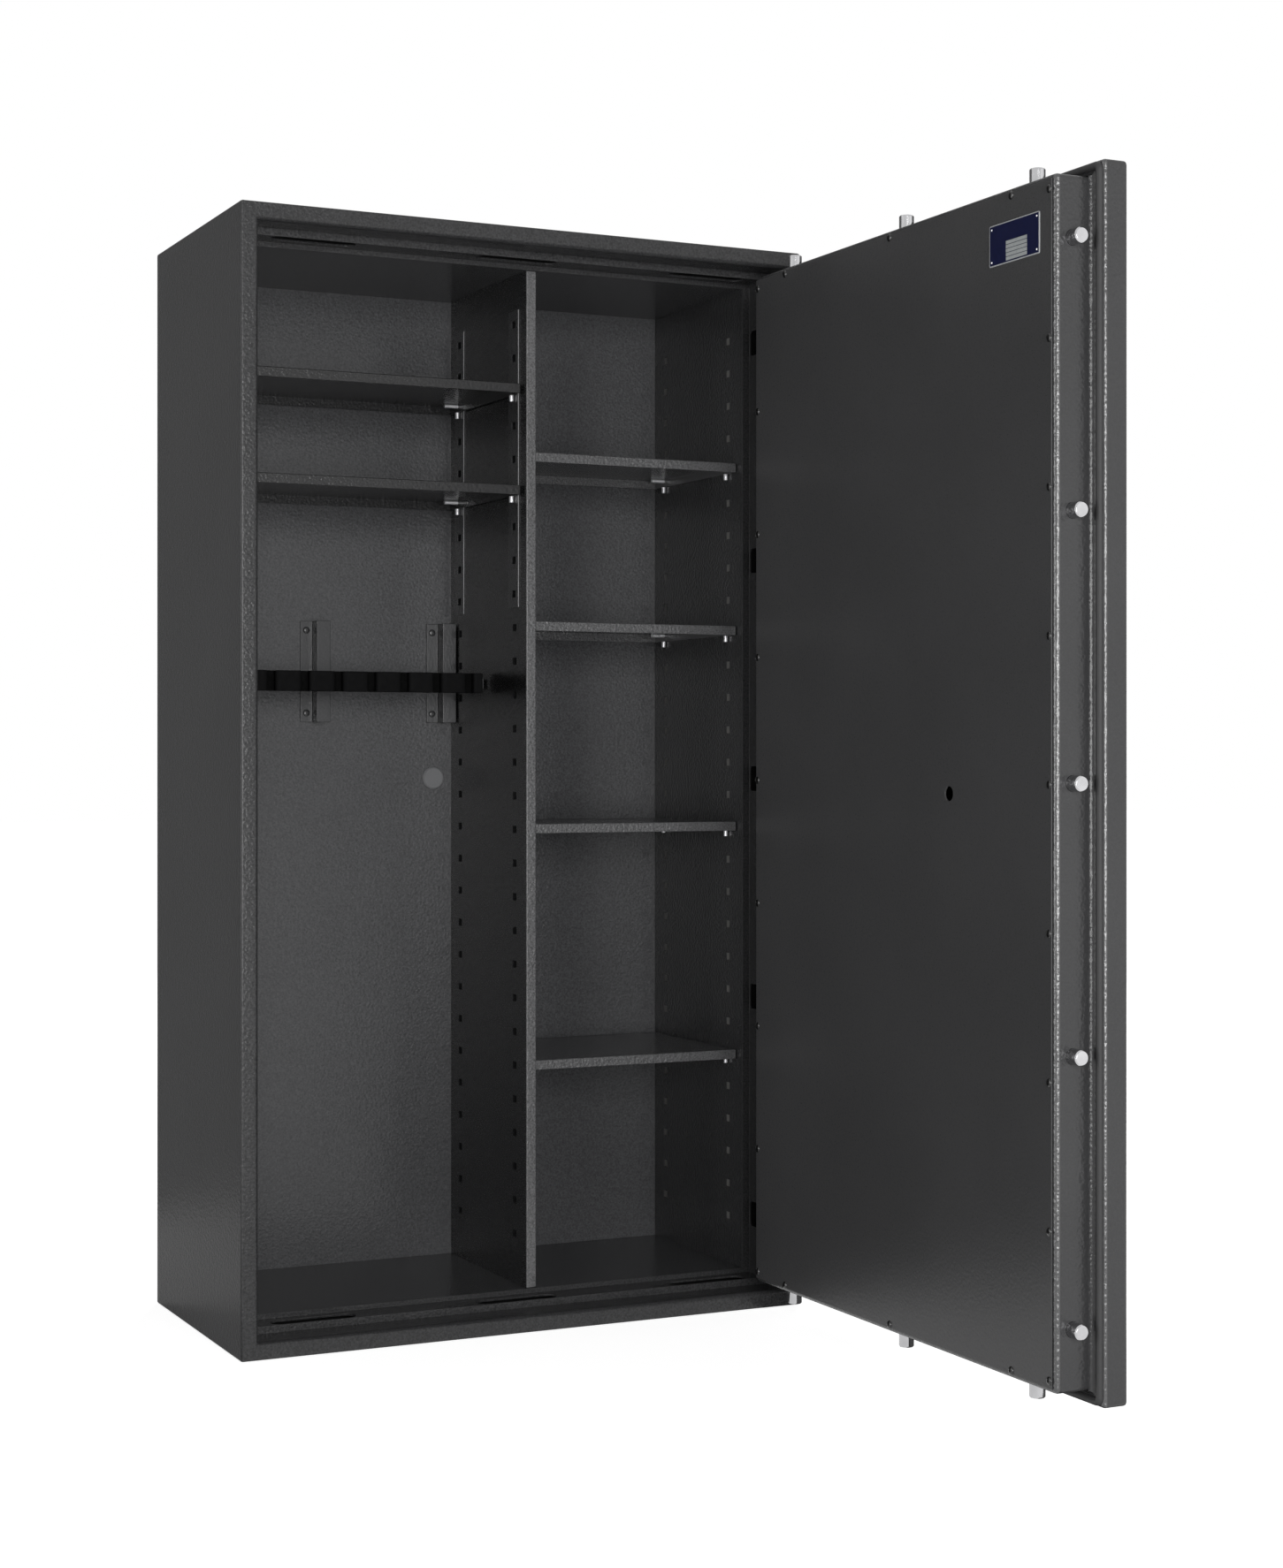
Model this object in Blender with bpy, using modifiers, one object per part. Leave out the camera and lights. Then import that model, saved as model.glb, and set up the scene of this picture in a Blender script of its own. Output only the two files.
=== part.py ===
"""Gun safe: a steel cabinet on its base, with a thick flush door that stands open at a right angle.

Metres, +Z up. The origin is the middle of the base, X runs to the right seen from the front and Y runs
from the front to the back. The door is drawn shut and hangs from an empty on its hinge axis, which is
turned to open it.
"""
from math import cos, pi, radians, sin

import bmesh
import bpy
from mathutils import Matrix, Vector

# Cabinet
BODY_WIDTH = 0.868
BODY_DEPTH = 0.430
BODY_HEIGHT = 1.580
CASE_SHEET = 0.003
CASE_ROUND = 0.003
FACE_WIDTH = 0.025
FACE_ROUND = 0.006
SIDE_WALL = 0.047
TOP_WALL = 0.042
BACK_WALL = 0.029
LINER_SHEET = 0.002
SEAM = 0.0003

# Frame behind the rebate, which holds the bolts
FRAME_SHEET = 0.003
FLANGE_STEP = 0.010
SLOT_LENGTH = 0.125
SLOT_HEIGHT = 0.037
SLOT_ROUND = 0.006
SLOT_LAND = 0.0013
BOLT_ROOM = 0.004

# Door
DOOR_GAP = 0.004
HINGE_SIDE_GAP = 0.006
DOOR_PLATE = 0.036
PLATE_SHEET = 0.004
PLATE_ROUND = 0.005
PLATE_RETURN = 0.032
SEAL_DEPTH = 0.010
SEAL_WIDTH = 0.010
SEAL_INSET = 0.002
SEAL_NIP = 0.004
BOX_SIDE_GAP = 0.015
BOX_END_GAP = 0.0125
BOX_DEPTH = 0.058
BOX_SHEET = 0.003
BOX_ROUND = 0.006
BOX_RETURN = 0.024
COVER_SHEET = 0.002
DOOR_BACK_GAP = 0.0018
DOOR_OPEN = radians(90)

# Hinges
HINGE_FROM_SIDE = 0.012
HINGE_FROM_FRONT = 0.016
HINGE_FROM_END = 0.250
ARM_HEIGHT = 0.050
ARM_WIDTH = 0.012
KNUCKLE_RADIUS = 0.008
PIN_RADIUS = 0.005
LUG_HEIGHT = 0.012
BRACKET_PLATE = 0.006
KNUCKLE_ROOM = 0.002
RUNNING_GAP = 0.0002

# Bolts and the work that draws them
BOLT_RADIUS = 0.010
BOLT_CHAMFER = 0.0012
BOLT_THROW = 0.020
SIDE_REACH = 0.020
END_REACH = 0.0215
FIXED_REACH = 0.022
SIDE_BOLTS = 5
END_BOLTS = 3
SIDE_BOLT_MARGIN = 0.0775
END_BOLT_MARGIN = 0.075
SIDE_TAIL = 0.020
END_TAIL = 0.008
FIXED_TAIL = 0.012
BAR_THICKNESS = 0.012
BAR_MARGIN = 0.010
LINK_SHEET = 0.004
LINK_GAP = 0.002
DISC_RADIUS = 0.030
DISC_SHEET = 0.004
DRIVE_PIN_RADIUS = 0.004
DRIVE_PIN_GAP = 0.0008
LUG_WALL = 0.0038
DISC_BEHIND_PLATE = 0.004

# Handle and lock
HANDLE_FROM_HINGE = 0.532
HANDLE_HEIGHT = 0.910
SPINDLE_RADIUS = 0.008
ROSETTE_RADIUS = 0.030
ROSETTE_DEPTH = 0.008
LEVER_LENGTH = 0.120
LEVER_WIDTH = 0.030
LEVER_DEPTH = 0.014
LEVER_STANDOFF = 0.040
LOCK_BELOW_HANDLE = 0.135
LOCK_SIZE = (0.064, 0.026, 0.090)
KEY_HOLE_WIDTH = 0.008
KEY_HOLE_HEIGHT = 0.022
ESCUTCHEON_WIDTH = 0.036
ESCUTCHEON_HEIGHT = 0.084
ESCUTCHEON_DEPTH = 0.004
KEY_COVER_WIDTH = 0.026
KEY_COVER_HEIGHT = 0.060
KEY_COVER_DEPTH = 0.0025
KEY_PIVOT_RADIUS = 0.003
KEY_PIVOT_RISE = 0.024
COVER_HOLE_RADIUS = 0.0095

# Inside
LEFT_BAY = 0.417
DIVIDER_THICKNESS = 0.0156
DIVIDER_SET_BACK = 0.001
HOLE_PITCH = 0.050
HOLE_FIRST = 0.115
HOLE_FRONT = 0.145
HOLE_REAR = 0.362
HOLE_WIDTH = 0.014
HOLE_HEIGHT = 0.011
STRIP_WIDTH = 0.037
STRIP_SHEET = 0.0015
STRIP_LEAD = 0.0175
STRIP_ROWS = 9
STRIP_END = 0.020
SHELF_FRONT = 0.115
SHELF_BACK_GAP = 0.005
SHELF_HEIGHT = 0.014
SHELF_SHEET = 0.0015
SHELF_RISE = 0.009
SHELF_END_GAP = 0.0012
CLIP_REACH = 0.0012
CLIP_LENGTH = 0.012
CLIP_RADIUS = 0.004
CLIP_DROP = 0.012
LEFT_SHELVES_DOWN = (2, 5)
RIGHT_SHELVES_DOWN = (4, 9)
RIGHT_SHELVES_UP = (12, 5)

# Barrel rest
RACK_HEIGHT = 0.935
STRAP_HEIGHT = 0.030
STRAP_SET_BACK = 0.258
STRAP_BAND = 0.0025
STRAP_BULGE = 0.007
STRAP_END_GAP = 0.0005
LOOP_PITCH = 0.052
LOOP_FIRST = 0.022
LOOP_STITCH = 0.013
LOOP_SHOULDER = 0.006
BRACKET_FROM_LEFT = (0.187, 0.393)
BRACKET_HEIGHT = 0.155
BRACKET_RISE = 0.019
BRACKET_SHEET = 0.0025
BRACKET_BASE = 0.018
BRACKET_RAISED = 0.022
BRACKET_STANDOFF = 0.026
ARM_SHEET = 0.003
ARM_BAR_HEIGHT = 0.016
ARM_FOOT = 0.020
PLUG_RADIUS = 0.0175
PLUG_PROUD = 0.0008
PLUG_BELOW_RACK = 0.145
PLUG_FROM_DIVIDER = 0.030

# Planes worked out from the sizes above
LEFT = -BODY_WIDTH / 2
RIGHT = BODY_WIDTH / 2
FRONT = -BODY_DEPTH / 2
BACK = BODY_DEPTH / 2
REBATE = DOOR_PLATE + SEAL_DEPTH + SEAL_NIP
FLANGE = FACE_WIDTH + FLANGE_STEP
DOOR_DEPTH = DOOR_PLATE + BOX_DEPTH
FRAME_REAR = FRONT + DOOR_DEPTH + DOOR_BACK_GAP + FRAME_SHEET
LINER_FRONT = FRAME_REAR + SEAM
LINER_BACK = BACK - BACK_WALL
BOLT_Y = FRONT + REBATE + FRAME_SHEET + BOLT_ROOM + BOLT_RADIUS
HINGE_X = RIGHT - HINGE_FROM_SIDE
HINGE_Y = FRONT + HINGE_FROM_FRONT
PLATE_X = (LEFT + FACE_WIDTH + DOOR_GAP, RIGHT - FACE_WIDTH - HINGE_SIDE_GAP)
PLATE_Z = (FACE_WIDTH + DOOR_GAP, BODY_HEIGHT - FACE_WIDTH - DOOR_GAP)
BOX_X = (LEFT + FLANGE + BOX_SIDE_GAP, RIGHT - FLANGE - BOX_SIDE_GAP)
BOX_Z = (FLANGE + BOX_END_GAP, BODY_HEIGHT - FLANGE - BOX_END_GAP)
PLATE_BACK = FRONT + DOOR_PLATE
BOX_FRONT = PLATE_BACK + SEAM
COVER_FRONT = FRONT + DOOR_DEPTH - COVER_SHEET
HANDLE_X = BOX_X[1] - HANDLE_FROM_HINGE
LOCK_HEIGHT = HANDLE_HEIGHT - LOCK_BELOW_HANDLE
PLUG_HEIGHT = RACK_HEIGHT - PLUG_BELOW_RACK
DIVIDER_X = (LEFT + SIDE_WALL + LEFT_BAY, LEFT + SIDE_WALL + LEFT_BAY + DIVIDER_THICKNESS)
PLUG_X = DIVIDER_X[0] - PLUG_FROM_DIVIDER
HOLE_ROWS = int((BODY_HEIGHT - 2 * HOLE_FIRST) / HOLE_PITCH + 0.001) + 1

ROUND_SIDES = 20
SMALL_SIDES = 10
SLOT_ARC_STEPS = 6
SLOT_CORNER_STEPS = 3
FLARE_STEPS = 5
SMOOTH_ANGLE = radians(40)
OVERCUT = 0.001


def reset_scene():
    """Empty the scene and make the two collections."""
    for old in list(bpy.data.objects):
        bpy.data.objects.remove(old, do_unlink=True)
    made = []
    for name in ("gun_safe", "gun_safe_cutters"):
        collection = bpy.data.collections.new(name)
        bpy.context.scene.collection.children.link(collection)
        made.append(collection)
    return made


PARTS, CUTTERS = reset_scene()


def finish(name, colour, roughness, metallic):
    """A plain painted, plated or moulded surface."""
    material = bpy.data.materials.new(name)
    material.use_nodes = True
    shader = material.node_tree.nodes["Principled BSDF"]
    shader.inputs["Base Color"].default_value = (*colour, 1)
    shader.inputs["Roughness"].default_value = roughness
    shader.inputs["Metallic"].default_value = metallic
    return material


PLUG = finish("plug_plastic", (0.125, 0.127, 0.132), 0.5, 0.0)
GRAPHITE = finish("graphite_paint", (0.052, 0.053, 0.056), 0.45, 0.0)
CHROME = finish("bolt_chrome", (0.78, 0.78, 0.80), 0.15, 1.0)
STEEL = finish("plain_steel", (0.42, 0.42, 0.43), 0.35, 1.0)
RUBBER = finish("black_rubber", (0.012, 0.012, 0.012), 0.7, 0.0)
WEBBING = finish("black_webbing", (0.014, 0.014, 0.015), 0.85, 0.0)
FILLER = finish("fire_filler", (0.55, 0.53, 0.50), 0.9, 0.0)


def make_door_axis():
    """An empty on the hinge axis, turned to open the door; its children are placed as in the shut door."""
    empty = bpy.data.objects.new("door_axis", None)
    PARTS.objects.link(empty)
    empty.location = (HINGE_X, HINGE_Y, 0)
    empty.rotation_euler = (0, 0, DOOR_OPEN)
    return empty


DOOR_AXIS = make_door_axis()


def add_object(name, bm, place, material, frame):
    """Turn a bmesh into an object at its place, in the parts or, with no material, in the cutters."""
    bmesh.ops.recalc_face_normals(bm, faces=bm.faces)
    mesh = bpy.data.meshes.new(name)
    bm.to_mesh(mesh)
    bm.free()
    mesh.shade_smooth()
    mesh.set_sharp_from_angle(angle=SMOOTH_ANGLE)
    item = bpy.data.objects.new(name, mesh)
    item.location = place
    if frame is not None:
        item.parent = frame
        item.location = Vector(place) - frame.location
    if material is None:
        CUTTERS.objects.link(item)
        item.hide_render = True
        item.display_type = "WIRE"
    else:
        PARTS.objects.link(item)
        mesh.materials.append(material)
    return item


def middle(span):
    return (span[0] + span[1]) / 2


def around(centre, size):
    return (centre - size / 2, centre + size / 2)


def block(name, x, y, z, material=None, frame=None):
    """A box between two planes in each direction."""
    bm = bmesh.new()
    size = [span[1] - span[0] for span in (x, y, z)]
    bmesh.ops.create_cube(bm, size=1, matrix=Matrix.Diagonal((*size, 1)))
    return add_object(name, bm, (middle(x), middle(y), middle(z)), material, frame)


def blocks(name, boxes, frame=None):
    """Many separate boxes in one cutter."""
    bm = bmesh.new()
    for x, y, z in boxes:
        size = [span[1] - span[0] for span in (x, y, z)]
        place = Matrix.Translation((middle(x), middle(y), middle(z)))
        bmesh.ops.create_cube(bm, size=1, matrix=place @ Matrix.Diagonal((*size, 1)))
    return add_object(name, bm, (0, 0, 0), None, frame)


TURN = {"X": Matrix.Rotation(pi / 2, 4, "Y"), "Y": Matrix.Rotation(pi / 2, 4, "X"), "Z": Matrix.Identity(4)}


def rod(name, place, axis, radius, length, material=None, frame=None):
    """A round bar along X, Y or Z, centred on its place."""
    bm = bmesh.new()
    bmesh.ops.create_cone(bm, cap_ends=True, segments=ROUND_SIDES, radius1=radius, radius2=radius,
                          depth=length, matrix=TURN[axis])
    return add_object(name, bm, place, material, frame)


def rods(name, places, axis, radius, length, frame=None, sides=ROUND_SIDES):
    """Many separate round bars in one cutter."""
    bm = bmesh.new()
    for place in places:
        bmesh.ops.create_cone(bm, cap_ends=True, segments=sides, radius1=radius, radius2=radius,
                              depth=length, matrix=Matrix.Translation(place) @ TURN[axis])
    return add_object(name, bm, (0, 0, 0), None, frame)


def prism(name, outline, axis, span, material=None, frame=None):
    """A flat outline drawn out along an axis; its points are (y, z) for X, (x, z) for Y and (x, y) for Z."""
    bm = bmesh.new()
    if axis == "X":
        corners = [(span[0], u, v) for u, v in outline]
        step = (span[1] - span[0], 0, 0)
    elif axis == "Y":
        corners = [(u, span[0], v) for u, v in outline]
        step = (0, span[1] - span[0], 0)
    else:
        corners = [(u, v, span[0]) for u, v in outline]
        step = (0, 0, span[1] - span[0])
    face = bm.faces.new([bm.verts.new(corner) for corner in corners])
    grown = bmesh.ops.extrude_face_region(bm, geom=[face])
    tops = [item for item in grown["geom"] if isinstance(item, bmesh.types.BMVert)]
    bmesh.ops.translate(bm, vec=step, verts=tops)
    return add_object(name, bm, (0, 0, 0), material, frame)


def stadium(centre, length, width, upright):
    """A slot's outline: two half circles joined by straight sides."""
    radius = width / 2
    reach = length / 2 - radius
    points = []
    for end in (0, 1):
        for step in range(SLOT_ARC_STEPS + 1):
            turn = pi * (end + step / SLOT_ARC_STEPS)
            across = radius * cos(turn)
            along = radius * sin(turn) + (reach if end == 0 else -reach)
            points.append((centre[0] + across, centre[1] + along) if upright
                          else (centre[0] - along, centre[1] + across))
    return points


def rounded(across, along, radius):
    """A rectangle's outline between two planes each way, with quarter-round corners."""
    inner = [(span[0] + radius, span[1] - radius) for span in (across, along)]
    points = []
    for quarter, (end, side) in enumerate(((1, 1), (0, 1), (0, 0), (1, 0))):
        for step in range(SLOT_CORNER_STEPS + 1):
            turn = pi / 2 * (quarter + step / SLOT_CORNER_STEPS)
            points.append((inner[0][end] + radius * cos(turn), inner[1][side] + radius * sin(turn)))
    return points


def boolean(item, tool, operation="DIFFERENCE"):
    step = item.modifiers.new(operation.lower(), "BOOLEAN")
    step.object = tool
    step.operation = operation
    step.solver = "EXACT"


def bevel(item, width, segments):
    step = item.modifiers.new("rounding", "BEVEL")
    step.width = width
    step.segments = segments
    step.limit_method = "ANGLE"
    step.angle_limit = radians(50)


def within(side, top, front, back):
    """The cabinet's box drawn in by a distance from the sides, the top and base, the front and the back."""
    return ((LEFT + side, RIGHT - side), (FRONT + front, BACK - back), (top, BODY_HEIGHT - top))


def row_up(row):
    """Height of a shelf hole, counted from the lowest row."""
    return HOLE_FIRST + HOLE_PITCH * row


def row_down(row):
    """Height of a shelf hole, counted from the highest row."""
    return row_up(HOLE_ROWS - 1 - row)


def spread(first, last, count):
    """Evenly spaced places from the first to the last."""
    return [first + (last - first) * step / (count - 1) for step in range(count)]


SIDE_BOLT_Z = spread(BOX_Z[0] + SIDE_BOLT_MARGIN, BOX_Z[1] - SIDE_BOLT_MARGIN, SIDE_BOLTS)
END_BOLT_X = spread(BOX_X[0] + END_BOLT_MARGIN, BOX_X[1] - END_BOLT_MARGIN, END_BOLTS)
HINGE_Z = (HINGE_FROM_END, BODY_HEIGHT - HINGE_FROM_END)
MORTISE_DEPTH = HINGE_FROM_FRONT + KNUCKLE_RADIUS + KNUCKLE_ROOM


def mouth_cutter():
    """The front opening as a loft of rectangles that flare in a quarter round to the front face."""
    bm = bmesh.new()
    flare = FACE_WIDTH - FACE_ROUND
    sections = [(-OVERCUT, flare)]
    for step in range(FLARE_STEPS + 1):
        turn = pi / 2 * step / FLARE_STEPS
        sections.append((FACE_ROUND * (1 - cos(turn)), flare + FACE_ROUND * sin(turn)))
    sections.append((REBATE + OVERCUT, FACE_WIDTH))
    rings = []
    for depth, inset in sections:
        x, _, z = within(inset, inset, 0, 0)
        corners = [(x[0], z[0]), (x[1], z[0]), (x[1], z[1]), (x[0], z[1])]
        rings.append([bm.verts.new((u, FRONT + depth, v)) for u, v in corners])
    for near, far in zip(rings, rings[1:]):
        for side in range(4):
            after = (side + 1) % 4
            bm.faces.new((near[side], near[after], far[after], far[side]))
    bm.faces.new(rings[0])
    bm.faces.new(rings[-1])
    return add_object("mouth_cutter", bm, (0, 0, 0), None, None)


def make_casing():
    """Outer casing: five walls of sheet, with the front edge folded in and back to line the rebate."""
    casing = block("outer_casing", *within(0, 0, 0, 0), GRAPHITE)
    bevel(casing, CASE_ROUND, 2)
    hollow = block("casing_hollow", *within(CASE_SHEET, CASE_SHEET, CASE_SHEET, CASE_SHEET))
    lining = FACE_WIDTH - CASE_SHEET
    x, _, z = within(lining, lining, 0, 0)
    boolean(hollow, block("casing_core", x, (FRONT, FRONT + REBATE), z))
    boolean(casing, hollow)
    boolean(casing, mouth_cutter())
    mortise_x = (RIGHT - FACE_WIDTH - OVERCUT, RIGHT - CASE_SHEET - SEAM)
    mortise_y = (FRONT - OVERCUT, FRONT + MORTISE_DEPTH)
    mortises = [(mortise_x, mortise_y, around(z, ARM_HEIGHT + 2 * KNUCKLE_ROOM)) for z in HINGE_Z]
    boolean(casing, blocks("hinge_mortises", mortises))


def make_bolt_frame():
    """Bolt frame: a stop face behind the rebate, a flange with bolt slots and a return to the liner.

    The slots at the hinge side reach back to the return, because the fixed bolts swing into them.
    """
    edge = CASE_SHEET + SEAM
    x, _, z = within(edge, edge, 0, 0)
    front = FRONT + REBATE + SEAM
    frame = block("bolt_frame", x, (front, FRAME_REAR), z, GRAPHITE)
    x, _, z = within(FLANGE, FLANGE, 0, 0)
    boolean(frame, block("frame_throat", x, (front - OVERCUT, FRAME_REAR - FRAME_SHEET), z))
    x, _, z = within(SIDE_WALL, TOP_WALL, 0, 0)
    boolean(frame, block("frame_window", x, (front, FRAME_REAR + OVERCUT), z))
    x, _, z = within(0, 0, 0, 0)
    around_flange = block("frame_outside", x, (front + FRAME_SHEET, FRAME_REAR + OVERCUT), z)
    back = FLANGE - FRAME_SHEET
    x, _, z = within(back, back, 0, 0)
    boolean(around_flange, block("frame_core", x, (front, FRAME_REAR + 2 * OVERCUT), z))
    boolean(frame, around_flange)
    slot_depth = 2 * (BOLT_RADIUS + BOLT_ROOM - SEAM)
    skin = (back - OVERCUT, FLANGE + OVERCUT)
    ends = ((skin[0], skin[1]), (BODY_HEIGHT - skin[1], BODY_HEIGHT - skin[0]))
    for number, bolt_x in enumerate(END_BOLT_X):
        outline = stadium((bolt_x, BOLT_Y), SLOT_LENGTH, slot_depth, False)
        for end, span in zip(("base", "top"), ends):
            boolean(frame, prism(f"slot_{end}_{number}", outline, "Z", span))
    mouth = around(BOLT_Y, slot_depth)
    free = (LEFT + skin[0], LEFT + skin[1])
    hinge = (RIGHT - skin[1], RIGHT - skin[0])
    swing = (mouth[0], FRAME_REAR - FRAME_SHEET - SLOT_LAND)
    for side, span, depth in (("free", free, mouth), ("hinge", hinge, swing)):
        for number, z in enumerate(SIDE_BOLT_Z):
            outline = rounded(depth, around(z, SLOT_HEIGHT), SLOT_ROUND)
            boolean(frame, prism(f"slot_{side}_{number}", outline, "X", span))


def make_filler():
    """Fire filler: one tub between the casing and the liner."""
    edge = CASE_SHEET + SEAM
    x, y, z = within(edge, edge, 0, edge)
    filler = block("fire_filler", x, (LINER_FRONT, y[1]), z, FILLER)
    x, _, z = within(SIDE_WALL - LINER_SHEET - SEAM, TOP_WALL - LINER_SHEET - SEAM, 0, 0)
    boolean(filler, block("filler_hollow", x, (LINER_FRONT - OVERCUT, LINER_BACK + LINER_SHEET + SEAM), z))


def hole_grid(name, x, rows):
    """Cutter for two columns of shelf holes."""
    grid = []
    for column in (HOLE_FRONT, HOLE_REAR):
        for z in rows:
            grid.append((x, around(FRONT + column, HOLE_WIDTH), around(z, HOLE_HEIGHT)))
    return blocks(name, grid)


ALL_ROWS = [row_up(row) for row in range(HOLE_ROWS)]


def make_liner():
    """Liner panels, with shelf holes in the sides and a round hole for the anchor in the back."""
    x, _, z = within(SIDE_WALL, TOP_WALL, 0, 0)
    depth = (LINER_FRONT, LINER_BACK - SEAM)
    wide = (x[0] - LINER_SHEET, x[1] + LINER_SHEET)
    block("liner_bottom", wide, depth, (z[0] - LINER_SHEET, z[0]), GRAPHITE)
    block("liner_top", wide, depth, (z[1], z[1] + LINER_SHEET), GRAPHITE)
    tall = (z[0] + SEAM, z[1] - SEAM)
    for name, span in (("left", (x[0] - LINER_SHEET, x[0])), ("right", (x[1], x[1] + LINER_SHEET))):
        panel = block(f"liner_{name}", span, depth, tall, GRAPHITE)
        boolean(panel, hole_grid(f"liner_{name}_holes", (span[0] - OVERCUT, span[1] + OVERCUT), ALL_ROWS))
    back = block("liner_back", wide, (LINER_BACK, LINER_BACK + LINER_SHEET),
                 (z[0] - LINER_SHEET, z[1] + LINER_SHEET), GRAPHITE)
    middle_y = LINER_BACK + LINER_SHEET / 2
    spot = (PLUG_X, middle_y, PLUG_HEIGHT)
    boolean(back, rod("anchor_hole", spot, "Y", PLUG_RADIUS + SEAM, 3 * LINER_SHEET))
    plug = LINER_SHEET + PLUG_PROUD - SEAM
    spot = (PLUG_X, LINER_BACK - PLUG_PROUD + plug / 2, PLUG_HEIGHT)
    rod("anchor_plug", spot, "Y", PLUG_RADIUS, plug, PLUG)


def make_divider():
    """Upright divider with shelf holes through it."""
    depth = (LINER_FRONT + DIVIDER_SET_BACK, LINER_BACK - SEAM)
    tall = (TOP_WALL + SEAM, BODY_HEIGHT - TOP_WALL - SEAM)
    divider = block("divider", DIVIDER_X, depth, tall, GRAPHITE)
    boolean(divider, hole_grid("divider_holes", (DIVIDER_X[0] - OVERCUT, DIVIDER_X[1] + OVERCUT), ALL_ROWS))


LEFT_WALL_X = LEFT + SIDE_WALL
STRIP_STACK = STRIP_SHEET + SEAM


def make_strips():
    """Perforated strips laid over the upper hole columns of the left bay."""
    z = (row_down(STRIP_ROWS - 1) - STRIP_END, row_down(0) + STRIP_END)
    rows = [row_down(row) for row in range(STRIP_ROWS)]
    places = {"left": (LEFT_WALL_X + SEAM, LEFT_WALL_X + STRIP_STACK),
              "divider": (DIVIDER_X[0] - STRIP_STACK, DIVIDER_X[0] - SEAM)}
    for side, x in places.items():
        for end, column in (("front", HOLE_FRONT), ("rear", HOLE_REAR)):
            start = FRONT + column - STRIP_LEAD
            strip = block(f"strip_{side}_{end}", x, (start, start + STRIP_WIDTH), z, GRAPHITE)
            holes = [((x[0] - OVERCUT, x[1] + OVERCUT), around(FRONT + column, HOLE_WIDTH),
                      around(row, HOLE_HEIGHT)) for row in rows]
            boolean(strip, blocks(f"strip_{side}_{end}_holes", holes))


def make_shelf(name, bay, hole_z):
    """A folded tray on four clips, whose tongues go into the shelf holes."""
    x = (bay[0] + SHELF_END_GAP, bay[1] - SHELF_END_GAP)
    y = (FRONT + SHELF_FRONT, LINER_BACK - SHELF_BACK_GAP)
    top = hole_z + SHELF_RISE
    base = top - SHELF_HEIGHT
    shelf = block(name, x, y, (base, top), GRAPHITE)
    inside = [(span[0] + SHELF_SHEET, span[1] - SHELF_SHEET) for span in (x, y)]
    boolean(shelf, block(f"{name}_hollow", *inside, (base - OVERCUT, top - SHELF_SHEET)))
    tongue_z = (hole_z - HOLE_HEIGHT / 2 + SEAM, hole_z + HOLE_HEIGHT / 2 - OVERCUT)
    tongues = []
    leg_places = []
    for column in (HOLE_FRONT, HOLE_REAR):
        tongue_y = around(FRONT + column, HOLE_WIDTH - 2 * OVERCUT)
        tongues.append(((bay[0] - CLIP_REACH, x[0] + CLIP_LENGTH), tongue_y, tongue_z))
        tongues.append(((x[1] - CLIP_LENGTH, bay[1] + CLIP_REACH), tongue_y, tongue_z))
        leg_z = middle((base - CLIP_DROP, hole_z))
        for leg_x in (x[0] + CLIP_LENGTH / 2, x[1] - CLIP_LENGTH / 2):
            leg_places.append((leg_x, FRONT + column, leg_z))
    boolean(shelf, blocks(f"{name}_tongues", tongues), "UNION")
    leg_length = hole_z - base + CLIP_DROP
    legs = rods(f"{name}_legs", leg_places, "Z", CLIP_RADIUS, leg_length, None, SMALL_SIDES)
    boolean(shelf, legs, "UNION")


def make_shelves():
    """Two shelves over the long bay on the left and four in the right bay."""
    left_bay = (LEFT_WALL_X + STRIP_STACK, DIVIDER_X[0] - STRIP_STACK)
    right_bay = (DIVIDER_X[1], RIGHT - SIDE_WALL)
    for number, row in enumerate(LEFT_SHELVES_DOWN, 1):
        make_shelf(f"shelf_left_{number}", left_bay, row_down(row))
    heights = [row_down(row) for row in RIGHT_SHELVES_DOWN] + [row_up(row) for row in RIGHT_SHELVES_UP]
    for number, height in enumerate(heights, 1):
        make_shelf(f"shelf_right_{number}", right_bay, height)


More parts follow.
